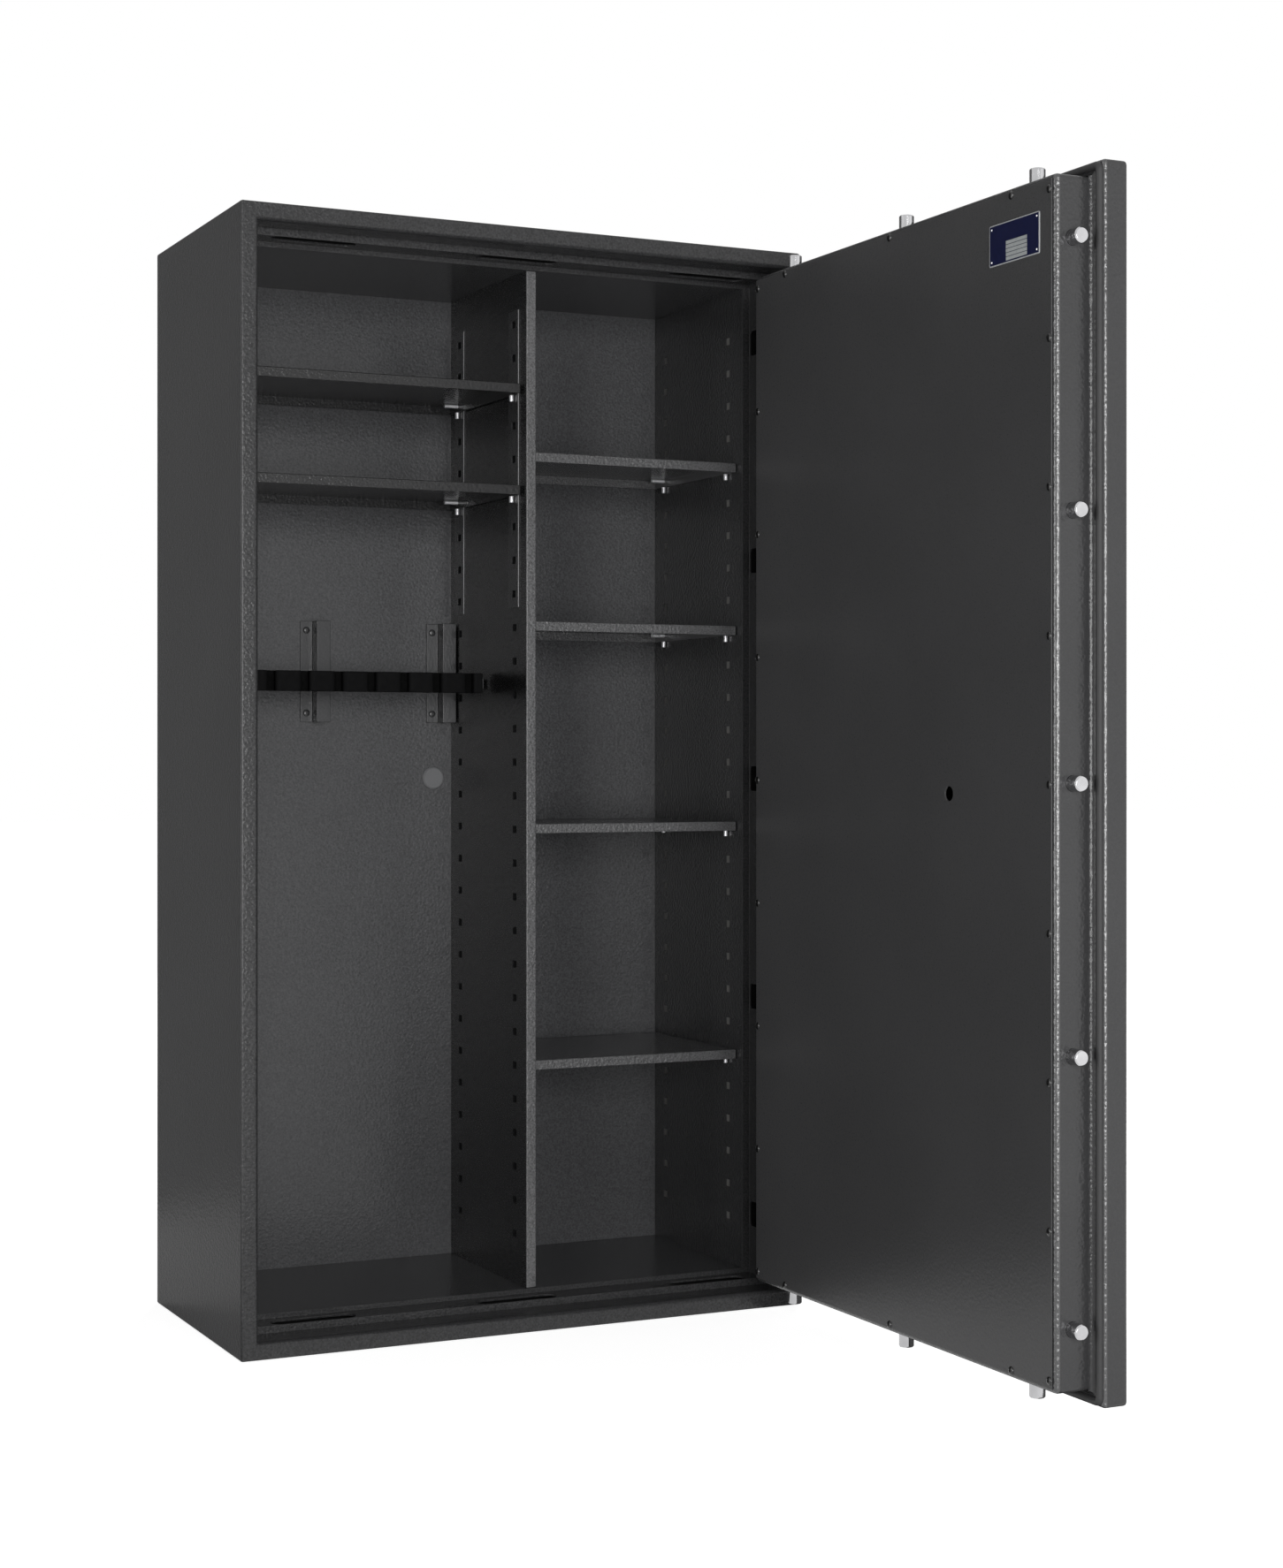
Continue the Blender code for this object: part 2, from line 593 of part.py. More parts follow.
def make_barrel_rest():
    """Webbing with barrel loops across the left bay, on two folded brackets from the back panel."""
    x = (LEFT_WALL_X + STRAP_END_GAP, DIVIDER_X[0] - STRAP_END_GAP)
    rear = FRONT + STRAP_SET_BACK
    face = rear - STRAP_BAND
    outline = [(x[1], rear), (x[0], rear), (x[0], face)]
    stitch = LEFT_WALL_X + LOOP_FIRST
    while stitch + LOOP_PITCH - LOOP_STITCH / 2 < x[1]:
        start = stitch + LOOP_STITCH / 2
        end = stitch + LOOP_PITCH - LOOP_STITCH / 2
        outline += [(start, face), (start + LOOP_SHOULDER, face - STRAP_BULGE)]
        outline += [(end - LOOP_SHOULDER, face - STRAP_BULGE), (end, face)]
        stitch += LOOP_PITCH
    outline.append((x[1], face))
    prism("barrel_strap", outline, "Z", around(RACK_HEIGHT, STRAP_HEIGHT), WEBBING)
    wall = LINER_BACK - SEAM
    sheet = BRACKET_SHEET
    lift = wall - BRACKET_STANDOFF
    for side, reach in zip(("left", "right"), BRACKET_FROM_LEFT):
        web = LEFT_WALL_X + reach
        outline = [(web - BRACKET_BASE, wall), (web - BRACKET_BASE, wall - sheet), (web, wall - sheet),
                   (web, lift), (web + BRACKET_RAISED, lift), (web + BRACKET_RAISED, lift + sheet),
                   (web + sheet, lift + sheet), (web + sheet, wall)]
        z = around(RACK_HEIGHT + BRACKET_RISE, BRACKET_HEIGHT)
        bracket = prism(f"rack_bracket_{side}", outline, "Z", z, GRAPHITE)
        bar_x = around(web + BRACKET_RAISED / 2, ARM_SHEET)
        bar_z = around(RACK_HEIGHT, ARM_BAR_HEIGHT)
        front = rear + SEAM
        boolean(bracket, block(f"rack_arm_{side}", bar_x, (front, lift + sheet / 2), bar_z), "UNION")
        foot_x = around(web + BRACKET_RAISED / 2, ARM_FOOT)
        boolean(bracket, block(f"rack_foot_{side}", foot_x, (front, front + ARM_SHEET), bar_z), "UNION")


def make_hinges():
    """Concealed pivot hinges: a bracket and pin in the stile, and a knuckle with an arm on the door."""
    names = ("lower", "upper")
    knuckle_space = ARM_HEIGHT + 2 * SEAM
    lugs = knuckle_space + 2 * LUG_HEIGHT
    bracket_x = (HINGE_X - KNUCKLE_RADIUS, RIGHT - CASE_SHEET - SEAM)
    bracket_y = (HINGE_Y - KNUCKLE_RADIUS, FRONT + MORTISE_DEPTH + BRACKET_PLATE)
    for name, z in zip(names, HINGE_Z):
        axle = (HINGE_X, HINGE_Y, z)
        bracket = block(f"hinge_bracket_{name}", bracket_x, bracket_y, around(z, lugs), STEEL)
        window_x = (bracket_x[0] - OVERCUT, bracket_x[1] + OVERCUT)
        window_y = (bracket_y[0] - OVERCUT, FRONT + MORTISE_DEPTH)
        boolean(bracket, block(f"hinge_window_{name}", window_x, window_y, around(z, knuckle_space)))
        bore = PIN_RADIUS + RUNNING_GAP
        boolean(bracket, rod(f"hinge_bore_{name}", axle, "Z", bore, 2 * lugs))
        rod(f"hinge_pin_{name}", axle, "Z", PIN_RADIUS, lugs, STEEL)
        arm = rod(f"hinge_arm_{name}", axle, "Z", KNUCKLE_RADIUS, ARM_HEIGHT, STEEL, DOOR_AXIS)
        arm_x = (PLATE_X[1] + SEAM, HINGE_X)
        arm_y = around(HINGE_Y, ARM_WIDTH)
        tab = block(f"hinge_tab_{name}", arm_x, arm_y, around(z, ARM_HEIGHT), None, DOOR_AXIS)
        boolean(arm, tab, "UNION")
        boolean(arm, rod(f"knuckle_bore_{name}", axle, "Z", bore, 2 * lugs, None, DOOR_AXIS))


def make_door_plate():
    """Front plate: a shallow pan with rounded folds, open at the back inside its return."""
    plate = block("door_front_plate", PLATE_X, (FRONT, PLATE_BACK), PLATE_Z, GRAPHITE, DOOR_AXIS)
    bevel(plate, PLATE_ROUND, 3)
    x = (PLATE_X[0] + PLATE_SHEET, PLATE_X[1] - PLATE_SHEET)
    z = (PLATE_Z[0] + PLATE_SHEET, PLATE_Z[1] - PLATE_SHEET)
    depth = (FRONT + PLATE_SHEET, PLATE_BACK - PLATE_SHEET)
    boolean(plate, block("plate_hollow", x, depth, z, None, DOOR_AXIS))
    x = (PLATE_X[0] + PLATE_RETURN, PLATE_X[1] - PLATE_RETURN)
    z = (PLATE_Z[0] + PLATE_RETURN, PLATE_Z[1] - PLATE_RETURN)
    boolean(plate, block("plate_window", x, (middle(depth), PLATE_BACK + OVERCUT), z, None, DOOR_AXIS))
    through = 4 * PLATE_SHEET
    spindle = (HANDLE_X, FRONT, HANDLE_HEIGHT)
    bore = SPINDLE_RADIUS + 2 * SEAM
    boolean(plate, rod("spindle_hole", spindle, "Y", bore, through, None, DOOR_AXIS))
    outline = stadium((HANDLE_X, LOCK_HEIGHT), KEY_HOLE_HEIGHT, KEY_HOLE_WIDTH, True)
    boolean(plate, prism("plate_key_hole", outline, "Y", around(FRONT, through), None, DOOR_AXIS))


def make_door_box():
    """Box on the plate's back: walls with bolt holes, folded in under a cover, and a seal round its foot."""
    box_rear = COVER_FRONT - SEAM
    foot = BOX_FRONT - 2 * BOX_ROUND
    box = block("door_box", BOX_X, (foot, box_rear), BOX_Z, GRAPHITE, DOOR_AXIS)
    bevel(box, BOX_ROUND, 3)
    x = (BOX_X[0] - OVERCUT, BOX_X[1] + OVERCUT)
    z = (BOX_Z[0] - OVERCUT, BOX_Z[1] + OVERCUT)
    boolean(box, block("box_foot", x, (foot - OVERCUT, BOX_FRONT), z, None, DOOR_AXIS))
    x = (BOX_X[0] + BOX_SHEET, BOX_X[1] - BOX_SHEET)
    z = (BOX_Z[0] + BOX_SHEET, BOX_Z[1] - BOX_SHEET)
    depth = (BOX_FRONT - OVERCUT, box_rear - BOX_SHEET)
    boolean(box, block("box_hollow", x, depth, z, None, DOOR_AXIS))
    x = (BOX_X[0] + BOX_RETURN, BOX_X[1] - BOX_RETURN)
    z = (BOX_Z[0] + BOX_RETURN, BOX_Z[1] - BOX_RETURN)
    boolean(box, block("box_window", x, (middle(depth), box_rear + OVERCUT), z, None, DOOR_AXIS))
    bore = BOLT_RADIUS + SEAM
    through = 4 * BOX_SHEET
    for side, wall in zip(("free", "hinge"), BOX_X):
        places = [(wall, BOLT_Y, z) for z in SIDE_BOLT_Z]
        boolean(box, rods(f"bolt_holes_{side}", places, "X", bore, through, DOOR_AXIS))
    for end, wall in zip(("base", "top"), BOX_Z):
        places = [(x, BOLT_Y, wall) for x in END_BOLT_X]
        boolean(box, rods(f"bolt_holes_{end}", places, "Z", bore, through, DOOR_AXIS))
    x = (BOX_X[0] + BOX_ROUND, BOX_X[1] - BOX_ROUND)
    z = (BOX_Z[0] + BOX_ROUND, BOX_Z[1] - BOX_ROUND)
    cover = block("door_cover", x, (COVER_FRONT, FRONT + DOOR_DEPTH), z, GRAPHITE, DOOR_AXIS)
    spot = (HANDLE_X, COVER_FRONT, LOCK_HEIGHT)
    boolean(cover, rod("cover_hole", spot, "Y", COVER_HOLE_RADIUS, 4 * COVER_SHEET, None, DOOR_AXIS))
    x = (PLATE_X[0] + SEAL_INSET, PLATE_X[1] - SEAL_INSET)
    z = (PLATE_Z[0] + SEAL_INSET, PLATE_Z[1] - SEAL_INSET)
    seal_y = (PLATE_BACK + SEAM, PLATE_BACK + SEAL_DEPTH)
    seal = block("door_seal", x, seal_y, z, RUBBER, DOOR_AXIS)
    inner = [(span[0] + SEAL_WIDTH, span[1] - SEAL_WIDTH) for span in (x, z)]
    hollow_y = (PLATE_BACK - OVERCUT, PLATE_BACK + SEAL_DEPTH + OVERCUT)
    boolean(seal, block("seal_hollow", inner[0], hollow_y, inner[1], None, DOOR_AXIS))


def make_bolt(name, place, axis, length):
    bolt = rod(name, place, axis, BOLT_RADIUS, length, CHROME, DOOR_AXIS)
    bevel(bolt, BOLT_CHAMFER, 1)


BAR_BACK = BOLT_Y + BOLT_RADIUS
DISC_Y = (PLATE_BACK + DISC_BEHIND_PLATE, PLATE_BACK + DISC_BEHIND_PLATE + DISC_SHEET)
NEAR_LINK_Y = (DISC_Y[1] + LINK_GAP, DISC_Y[1] + LINK_GAP + LINK_SHEET)
FAR_LINK_Y = (NEAR_LINK_Y[1] + LINK_GAP, NEAR_LINK_Y[1] + LINK_GAP + LINK_SHEET)
PIN_OFFSET = BOLT_THROW / 2
PIN_CIRCLE = BOLT_THROW / 2 ** 0.5
SLOT_HALF = DRIVE_PIN_RADIUS + DRIVE_PIN_GAP
SLOT_ACROSS = (PIN_OFFSET - SLOT_HALF, PIN_CIRCLE + SLOT_HALF)
LUG_HALF = SLOT_HALF + LUG_WALL
LUG_ACROSS = (SLOT_ACROSS[0] - LUG_WALL, SLOT_ACROSS[1] + LUG_WALL)


def make_side_bolts():
    """Five bolts at the free edge on one upright bar, with a link to the drive disc."""
    tip = BOX_X[0] - SIDE_REACH
    tail = BOX_X[0] + BOX_SHEET + BOLT_THROW + SIDE_TAIL
    for number, z in enumerate(SIDE_BOLT_Z, 1):
        make_bolt(f"side_bolt_{number}", (middle((tip, tail)), BOLT_Y, z), "X", tail - tip)
    bar_x = (tail + SEAM, tail + SEAM + BAR_THICKNESS)
    bar_z = (SIDE_BOLT_Z[0] - BAR_MARGIN, SIDE_BOLT_Z[-1] + BAR_MARGIN)
    bar = block("side_bolt_bar", bar_x, (FAR_LINK_Y[0], BAR_BACK), bar_z, STEEL, DOOR_AXIS)
    link_x = (middle(bar_x), HANDLE_X - PIN_OFFSET + LUG_HALF)
    link_z = [HANDLE_HEIGHT + edge for edge in LUG_ACROSS]
    boolean(bar, block("side_link", link_x, FAR_LINK_Y, link_z, None, DOOR_AXIS), "UNION")
    slot_x = around(HANDLE_X - PIN_OFFSET, 2 * SLOT_HALF)
    slot_z = [HANDLE_HEIGHT + edge for edge in SLOT_ACROSS]
    slot_y = (FAR_LINK_Y[0] - OVERCUT, FAR_LINK_Y[1] + OVERCUT)
    boolean(bar, block("side_link_slot", slot_x, slot_y, slot_z, None, DOOR_AXIS))


def make_end_bolts(end, way):
    """Three bolts at the top (way 1) or the base (way -1) on one level bar, with a link to the drive disc."""
    wall = BOX_Z[1] if way > 0 else BOX_Z[0]
    tip = wall + way * END_REACH
    tail = wall - way * (BOX_SHEET + BOLT_THROW + END_TAIL)
    for number, x in enumerate(END_BOLT_X, 1):
        make_bolt(f"{end}_bolt_{number}", (x, BOLT_Y, middle((tip, tail))), "Z", abs(tip - tail))
    seat = tail - way * SEAM
    bar_z = sorted((seat, seat - way * BAR_THICKNESS))
    bar_x = (END_BOLT_X[0] - BAR_MARGIN, END_BOLT_X[-1] + BAR_MARGIN)
    bar = block(f"{end}_bolt_bar", bar_x, (NEAR_LINK_Y[0], BAR_BACK), bar_z, STEEL, DOOR_AXIS)
    strip = (LUG_ACROSS[1], LUG_ACROSS[1] + BAR_THICKNESS)
    lug_z = (PIN_OFFSET - LUG_HALF, PIN_OFFSET + LUG_HALF)
    rise = abs(middle(bar_z) - HANDLE_HEIGHT)
    shape = [(LUG_ACROSS[0], lug_z[0]), (strip[1], lug_z[0]), (strip[1], rise), (strip[0], rise),
             (strip[0], lug_z[1]), (LUG_ACROSS[0], lug_z[1])]
    outline = [(HANDLE_X + way * u, HANDLE_HEIGHT + way * v) for u, v in shape]
    link = prism(f"{end}_link", outline, "Y", NEAR_LINK_Y, None, DOOR_AXIS)
    boolean(bar, link, "UNION")
    slot_x = sorted(HANDLE_X + way * edge for edge in SLOT_ACROSS)
    slot_z = around(HANDLE_HEIGHT + way * PIN_OFFSET, 2 * SLOT_HALF)
    slot_y = (NEAR_LINK_Y[0] - OVERCUT, NEAR_LINK_Y[1] + OVERCUT)
    boolean(bar, block(f"{end}_link_slot", slot_x, slot_y, slot_z, None, DOOR_AXIS))


def make_fixed_bolts():
    """Five fixed bolts at the hinge edge, welded into the box wall."""
    tip = BOX_X[1] + FIXED_REACH
    tail = BOX_X[1] - BOX_SHEET - FIXED_TAIL
    for number, z in enumerate(SIDE_BOLT_Z, 1):
        make_bolt(f"fixed_bolt_{number}", (middle((tip, tail)), BOLT_Y, z), "X", tip - tail)


def make_handle():
    """Lever handle on a spindle, its rosette, and the drive disc whose three pins move the bolt bars."""
    rosette_y = (FRONT - SEAM - ROSETTE_DEPTH, FRONT - SEAM)
    place = (HANDLE_X, middle(rosette_y), HANDLE_HEIGHT)
    rosette = rod("handle_rosette", place, "Y", ROSETTE_RADIUS, ROSETTE_DEPTH, STEEL, DOOR_AXIS)
    bore = SPINDLE_RADIUS + SEAM
    boolean(rosette, rod("rosette_bore", place, "Y", bore, 2 * ROSETTE_DEPTH, None, DOOR_AXIS))
    lever_y = (FRONT - LEVER_STANDOFF - LEVER_DEPTH, FRONT - LEVER_STANDOFF)
    spindle_y = (middle(lever_y), DISC_Y[1])
    place = (HANDLE_X, middle(spindle_y), HANDLE_HEIGHT)
    handle = rod("door_handle", place, "Y", SPINDLE_RADIUS, spindle_y[1] - spindle_y[0], STEEL, DOOR_AXIS)
    lever_z = HANDLE_HEIGHT - LEVER_LENGTH / 2 + LEVER_WIDTH / 2
    outline = stadium((HANDLE_X, lever_z), LEVER_LENGTH, LEVER_WIDTH, True)
    lever = prism("lever", outline, "Y", lever_y, None, DOOR_AXIS)
    boolean(handle, lever, "UNION")
    place = (HANDLE_X, middle(DISC_Y), HANDLE_HEIGHT)
    disc = rod("drive_disc", place, "Y", DISC_RADIUS, DISC_SHEET, STEEL, DOOR_AXIS)
    pins = {"top": (1, 1, NEAR_LINK_Y[1]), "base": (-1, -1, NEAR_LINK_Y[1]), "side": (-1, 1, FAR_LINK_Y[1])}
    for name, (right, up, reach) in pins.items():
        pin_y = (middle(DISC_Y), reach)
        spot = (HANDLE_X + right * PIN_OFFSET, middle(pin_y), HANDLE_HEIGHT + up * PIN_OFFSET)
        pin = rod(f"drive_pin_{name}", spot, "Y", DRIVE_PIN_RADIUS, pin_y[1] - pin_y[0], None, DOOR_AXIS)
        boolean(disc, pin, "UNION")
    boolean(disc, rod("disc_bore", place, "Y", bore, 4 * DISC_SHEET, None, DOOR_AXIS))


def make_lock():
    """Key lock: its case behind the plate, and the escutcheon with a swinging cover in front."""
    width, depth, height = LOCK_SIZE
    start = FRONT + PLATE_SHEET + SEAM
    case_x = around(HANDLE_X, width)
    case_z = around(LOCK_HEIGHT, height)
    block("lock_case", case_x, (start, start + depth), case_z, STEEL, DOOR_AXIS)
    plate_y = (FRONT - SEAM - ESCUTCHEON_DEPTH, FRONT - SEAM)
    outline = stadium((HANDLE_X, LOCK_HEIGHT), ESCUTCHEON_HEIGHT, ESCUTCHEON_WIDTH, True)
    plate = prism("key_escutcheon", outline, "Y", plate_y, STEEL, DOOR_AXIS)
    hole_y = (plate_y[0] - OVERCUT, plate_y[1] + OVERCUT)
    outline = stadium((HANDLE_X, LOCK_HEIGHT), KEY_HOLE_HEIGHT, KEY_HOLE_WIDTH, True)
    hole = prism("escutcheon_hole", outline, "Y", hole_y, None, DOOR_AXIS)
    boolean(plate, hole)
    pivot_z = LOCK_HEIGHT + KEY_PIVOT_RISE
    spot = (HANDLE_X, middle(plate_y), pivot_z)
    bore = KEY_PIVOT_RADIUS + SEAM
    boolean(plate, rod("key_pivot_hole", spot, "Y", bore, 4 * ESCUTCHEON_DEPTH, None, DOOR_AXIS))
    cover_y = (plate_y[0] - SEAM - KEY_COVER_DEPTH, plate_y[0] - SEAM)
    pin_y = (middle(cover_y), plate_y[1] - SEAM)
    spot = (HANDLE_X, middle(pin_y), pivot_z)
    cover = rod("key_cover", spot, "Y", KEY_PIVOT_RADIUS, pin_y[1] - pin_y[0], STEEL, DOOR_AXIS)
    cover_z = pivot_z + KEY_COVER_WIDTH / 2 - KEY_COVER_HEIGHT / 2
    outline = stadium((HANDLE_X, cover_z), KEY_COVER_HEIGHT, KEY_COVER_WIDTH, True)
    leaf = prism("key_cover_leaf", outline, "Y", cover_y, None, DOOR_AXIS)
    boolean(cover, leaf, "UNION")


def main():
    make_casing()
    make_bolt_frame()
    make_filler()
    make_liner()
    make_divider()
    make_strips()
    make_shelves()
    make_barrel_rest()
    make_hinges()
    make_door_plate()
    make_door_box()
    make_side_bolts()
    make_end_bolts("top", 1)
    make_end_bolts("base", -1)
    make_fixed_bolts()
    make_handle()
    make_lock()


main()
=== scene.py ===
"""Looks of the gun safe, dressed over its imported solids.

Metres, in the solids' own frame: X to the right, Y to the back, Z up. The door stands open, so its inner
side faces -X and its free edge faces -Y.
"""
from math import pi, radians

import bmesh
import bpy
import numpy as np
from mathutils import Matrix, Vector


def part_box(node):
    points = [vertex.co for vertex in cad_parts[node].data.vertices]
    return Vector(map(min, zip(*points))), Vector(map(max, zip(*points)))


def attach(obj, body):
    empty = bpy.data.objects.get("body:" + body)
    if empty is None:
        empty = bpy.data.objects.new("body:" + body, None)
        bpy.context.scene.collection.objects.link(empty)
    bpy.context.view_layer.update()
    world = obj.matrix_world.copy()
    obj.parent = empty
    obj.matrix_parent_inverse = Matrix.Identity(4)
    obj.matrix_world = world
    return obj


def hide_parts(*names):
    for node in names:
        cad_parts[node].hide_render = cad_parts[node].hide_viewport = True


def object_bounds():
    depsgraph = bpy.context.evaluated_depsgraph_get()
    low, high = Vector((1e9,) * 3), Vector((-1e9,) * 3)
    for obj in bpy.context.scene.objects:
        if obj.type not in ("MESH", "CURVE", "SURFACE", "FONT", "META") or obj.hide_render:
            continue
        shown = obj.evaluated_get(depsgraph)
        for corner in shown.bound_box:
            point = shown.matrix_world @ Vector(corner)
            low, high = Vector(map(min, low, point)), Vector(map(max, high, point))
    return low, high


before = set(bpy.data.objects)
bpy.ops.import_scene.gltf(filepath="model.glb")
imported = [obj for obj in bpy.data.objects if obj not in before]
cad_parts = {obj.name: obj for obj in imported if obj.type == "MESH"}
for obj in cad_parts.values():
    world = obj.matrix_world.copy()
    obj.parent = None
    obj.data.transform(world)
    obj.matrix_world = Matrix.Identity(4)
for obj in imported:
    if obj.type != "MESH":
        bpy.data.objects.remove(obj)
CAD_LOW, CAD_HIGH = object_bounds()

# Camera, from the photo's vanishing points
CAMERA_PLACE = (-1.4704, -3.6137, 0.8200)
CAMERA_TURN = radians(-25.756)
CAMERA_LENS = 59.389
CAMERA_SENSOR = 36.0
CAMERA_SHIFT = -0.0160

# Studio: the floor and the cards, which are seen only in reflections
AMBIENT = 0.08
FLOOR_SIZE = 30.0
FLOOR_TONE = 0.80
FLOOR_GLOW = 0.80
FLOOR_WHITE_FROM = 1.6
FLOOR_WHITE_AT = 3.4
CARD_TONE = 0.25
SIDE_CARD_TONE = 0.75
CARD_ENDS = (-2.6, 2.6)
CARD_BEHIND = 1.0
CARD_FRONT = -0.4
RIGHT_CARD_FRONT = -1.6
FLOOR_CARD_WIDTH = 0.5
CARD_TOP = 3.0
CARD_LIFT = 1e-5
STAGE_ROUGHNESS = 0.9

# Lights: each has a name, a place, a target, a size and a power in watts
LIGHTS = (
    ("key", (-1.0, -5.2, 0.95), (0.0, 0.0, 0.7), (2.5, 2.6), 182.0),
    ("left_fill", (-4.4, -0.6, 1.0), (0.0, -0.1, 0.7), (2.0, 2.4), 60.0),
    ("right_fill", (2.7, -4.5, 1.3), (0.3, -0.3, 0.8), (2.8, 2.6), 9.0),
    ("right_side", (4.6, -0.5, 1.2), (0.4, -0.4, 0.8), (2.0, 2.4), 85.0),
    ("back_fill", (2.8, 4.2, 2.6), (0.0, 0.0, 0.8), (2.0, 2.0), 120.0),
)

# Rounding of folded sheet and of cut edges
DIVIDER_FOLD = 0.0016
ROOT_FILLET = 0.008
FRAME_EASE = 0.0008
STRIP_EASE = 0.0005
ARM_EASE = 0.0006
COVER_EASE = 0.0006
ESCUTCHEON_EASE = 0.0009
KEY_COVER_EASE = 0.0007

# Repainted faces, for painted shade, painted highlights and the folds' glossier paint: how far they
# reach, and how squarely they face their way
RETURN_DEPTH = 0.005
RIM_DEPTH = 0.0025
EDGE_FACING = 0.1
FOLD_FACING = 0.2
RIM_FACING = 0.5

# Meshes: doubles, least corner, flatness of merged faces, angle of eased edges and angle of creases
MERGE = 1e-6
LEAST_CORNER = 1e-5
FLAT = radians(0.5)
SHARP = radians(50)
SMOOTH = radians(40)

# Face attribute: how squarely a face looks to the front, where the painted sparkle is stronger
FRONT_MASK = "front"

# What a shader group gives a material
FINISH = [("Colour", "NodeSocketColor"), ("Roughness", "NodeSocketFloat"), ("Normal", "NodeSocketVector")]

# Directions of the open door
INWARD = np.array([-1.0, 0.0, 0.0])
OUTWARD = np.array([1.0, 0.0, 0.0])
ALONG = np.array([0.0, 1.0, 0.0])
UP = np.array([0.0, 0.0, 1.0])

# Cover screws
SCREW_INSET = 0.0105
SCREW_RADIUS = 0.0054
SCREW_RISE = 0.0024
SOCKET_SHARE = 0.38
SOCKET_DEPTH = 0.0014
SOCKET_TAPER = 0.95
DOME_END = 0.42
DOME_POWER = 0.8
EDGE_SCREW_Z = (0.063, 1.514)
EDGE_SCREWS = 9
END_SCREW_FROM_HINGE = (0.093, 0.384, 0.675)

# Blank plate on the cover
PLATE_LENGTH = 0.110
PLATE_HEIGHT = 0.052
PLATE_FROM_HINGE = 0.628
PLATE_LOW = 1.439
PLATE_SHEET = 0.0012
PLATE_BORDER = 0.0014
FIELD_ACROSS = (-0.0178, 0.0285)
FIELD_UP = (-0.0232, 0.0020)
FIELD_ROWS = 5
RIVET_INSET = 0.0055
RIVET_RADIUS = 0.0014
RIVET_RISE = 0.00084
BORDER_SOFT = 0.0002
BAND_SOFT = 0.00025
RULE_HALF = (0.0003, 0.0006)

# Shelves and their clips
SHELF_HEIGHT = 0.014
SHELF_SHEET = 0.0015
SHELF_FOLD = 0.0016
SHELF_EASE = 0.2 * SHELF_SHEET
SHELF_CORNER = 0.8 * SHELF_SHEET
SHELF_END_PROUD = 0.0024
HOLE_FROM_STRIP_EDGE = 0.0175
CLIP_WIRE = 0.003
CLIP_LENGTH = 0.022
PIN_WIRE = 0.0032
PIN_LENGTH = 0.0095
PIN_FROM_END = 0.0022

# Strap
WEB_SHEET = 0.0014
LOOP_PITCH = 0.052
LOOP_FIRST = 0.022
LOOP_STITCH = 0.013
LOOP_SQUARE = 5.0
LOOP_RISE = 0.011
STRAP_SHORT = 0.009
THREAD = 0.0004
STITCHES = 6
STITCH_AT = (-0.25, 0.25)
STITCH_MARGIN = 0.1
RIB_PITCH = 0.0011
PICK_PITCH = 0.0019
# Painted shade in the sunk sewn lines: where it starts and ends, in shares of the loops' rise, and how
# dark it gets
SUNK_FROM = 0.8
SUNK_TO = 0.2
SUNK_SHADE = 0.9

# Rack brackets
BRACKET_SHEET = 0.0025
BRACKET_BASE = 0.018
BRACKET_SCREW_FROM_END = 0.014

# Filling: painted shade darkens its front end, up to a little behind the liner's front edge
FILLER_SHADE_REACH = 0.006
FILLER_SHADE_FADE = 0.002
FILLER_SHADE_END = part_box("liner_right")[0][1] + FILLER_SHADE_REACH

# Anchor plug, in shares of its depth and its radius
PLUG_EASE = 0.4
PLUG_GROOVE = (0.93, 0.91, 0.89)

# Bolts, in shares of the radius and of the chamfer
BOLT_CHAMFER = 0.14
BOLT_EASE = 0.3

# Seal
SEAL_RISE = 0.006
SEAL_POWER = 0.8
SEAL_CORNER = 1.2

# Lever: half widths and depth, and the powers that round its ends
LEVER_BOSS = 0.015
LEVER_TIP = 0.0115
LEVER_SQUARE = 3.2
LEVER_DEPTH = 0.014003
LEVER_THINNING = 0.18
LEVER_WIDTH_END = (9, 0.45)
LEVER_DEPTH_END = (14, 0.5)

# Neck and rosette: heights and radii of the neck's two ends in shares of its radius
NECK_RADIUS = 0.0095
NECK_FOOT = ((0.0, 1.5), (0.3, 1.15), (1.0, 1.0))
NECK_HEAD = ((-0.2, 1.0), (0.4, 1.2))
NECK_BORE = 1.02 * NECK_RADIUS
ROSETTE_EASE = 0.45
ROSETTE_DISH = (0.62, 0.58)
ROSETTE_FLOOR = 0.85

# Key cover's rivet: radius as a share of the cover's width, and rise as a share of the radius
KEY_RIVET_SHARE = 0.17
KEY_RIVET_RISE = 0.3

# Paint texture: the grain's and the flecks' fineness against the pools, and how deep the relief is
GRAIN_FINER = 2.4
GRAIN_SHARE = 0.45
FLECK_FINER = 1.5
PAINT_DEPTH = 0.0010
METAL_DEPTH = 0.0002
WEB_DEPTH = 0.0002
DRIFT_SCALE = 5.0
HAZE_SCALE = 60.0
OUTER_POOLS = 240.0
INNER_POOLS = 260.0
# Painted sparkle: how much the flecks grow on faces that look to the front
FRONT_PAINTED_SPARKLE = 2.0


# Shader building

def add_node(tree, kind, inputs=None, **settings):
    """One shader node with its settings; an input is a plain value or another node's output."""
    made = tree.nodes.new(kind)
    for key, value in settings.items():
        setattr(made, key, value)
    for key, value in (inputs or {}).items():
        if isinstance(value, bpy.types.NodeSocket):
            tree.links.new(value, made.inputs[key])
        else:
            made.inputs[key].default_value = value
    return made


def maths(tree, operation, *values):
    """One step of arithmetic on values or sockets."""
    return add_node(tree, "ShaderNodeMath", dict(enumerate(values)), operation=operation).outputs[0]


def mix_colours(tree, factor, first, second, blend="MIX"):
    """Mix of two colours; in a Mix node the colours are sockets 6 and 7 and the result is socket 2."""
    given = {0: factor, 6: first, 7: second}
    return add_node(tree, "ShaderNodeMix", given, data_type="RGBA", blend_type=blend).outputs[2]


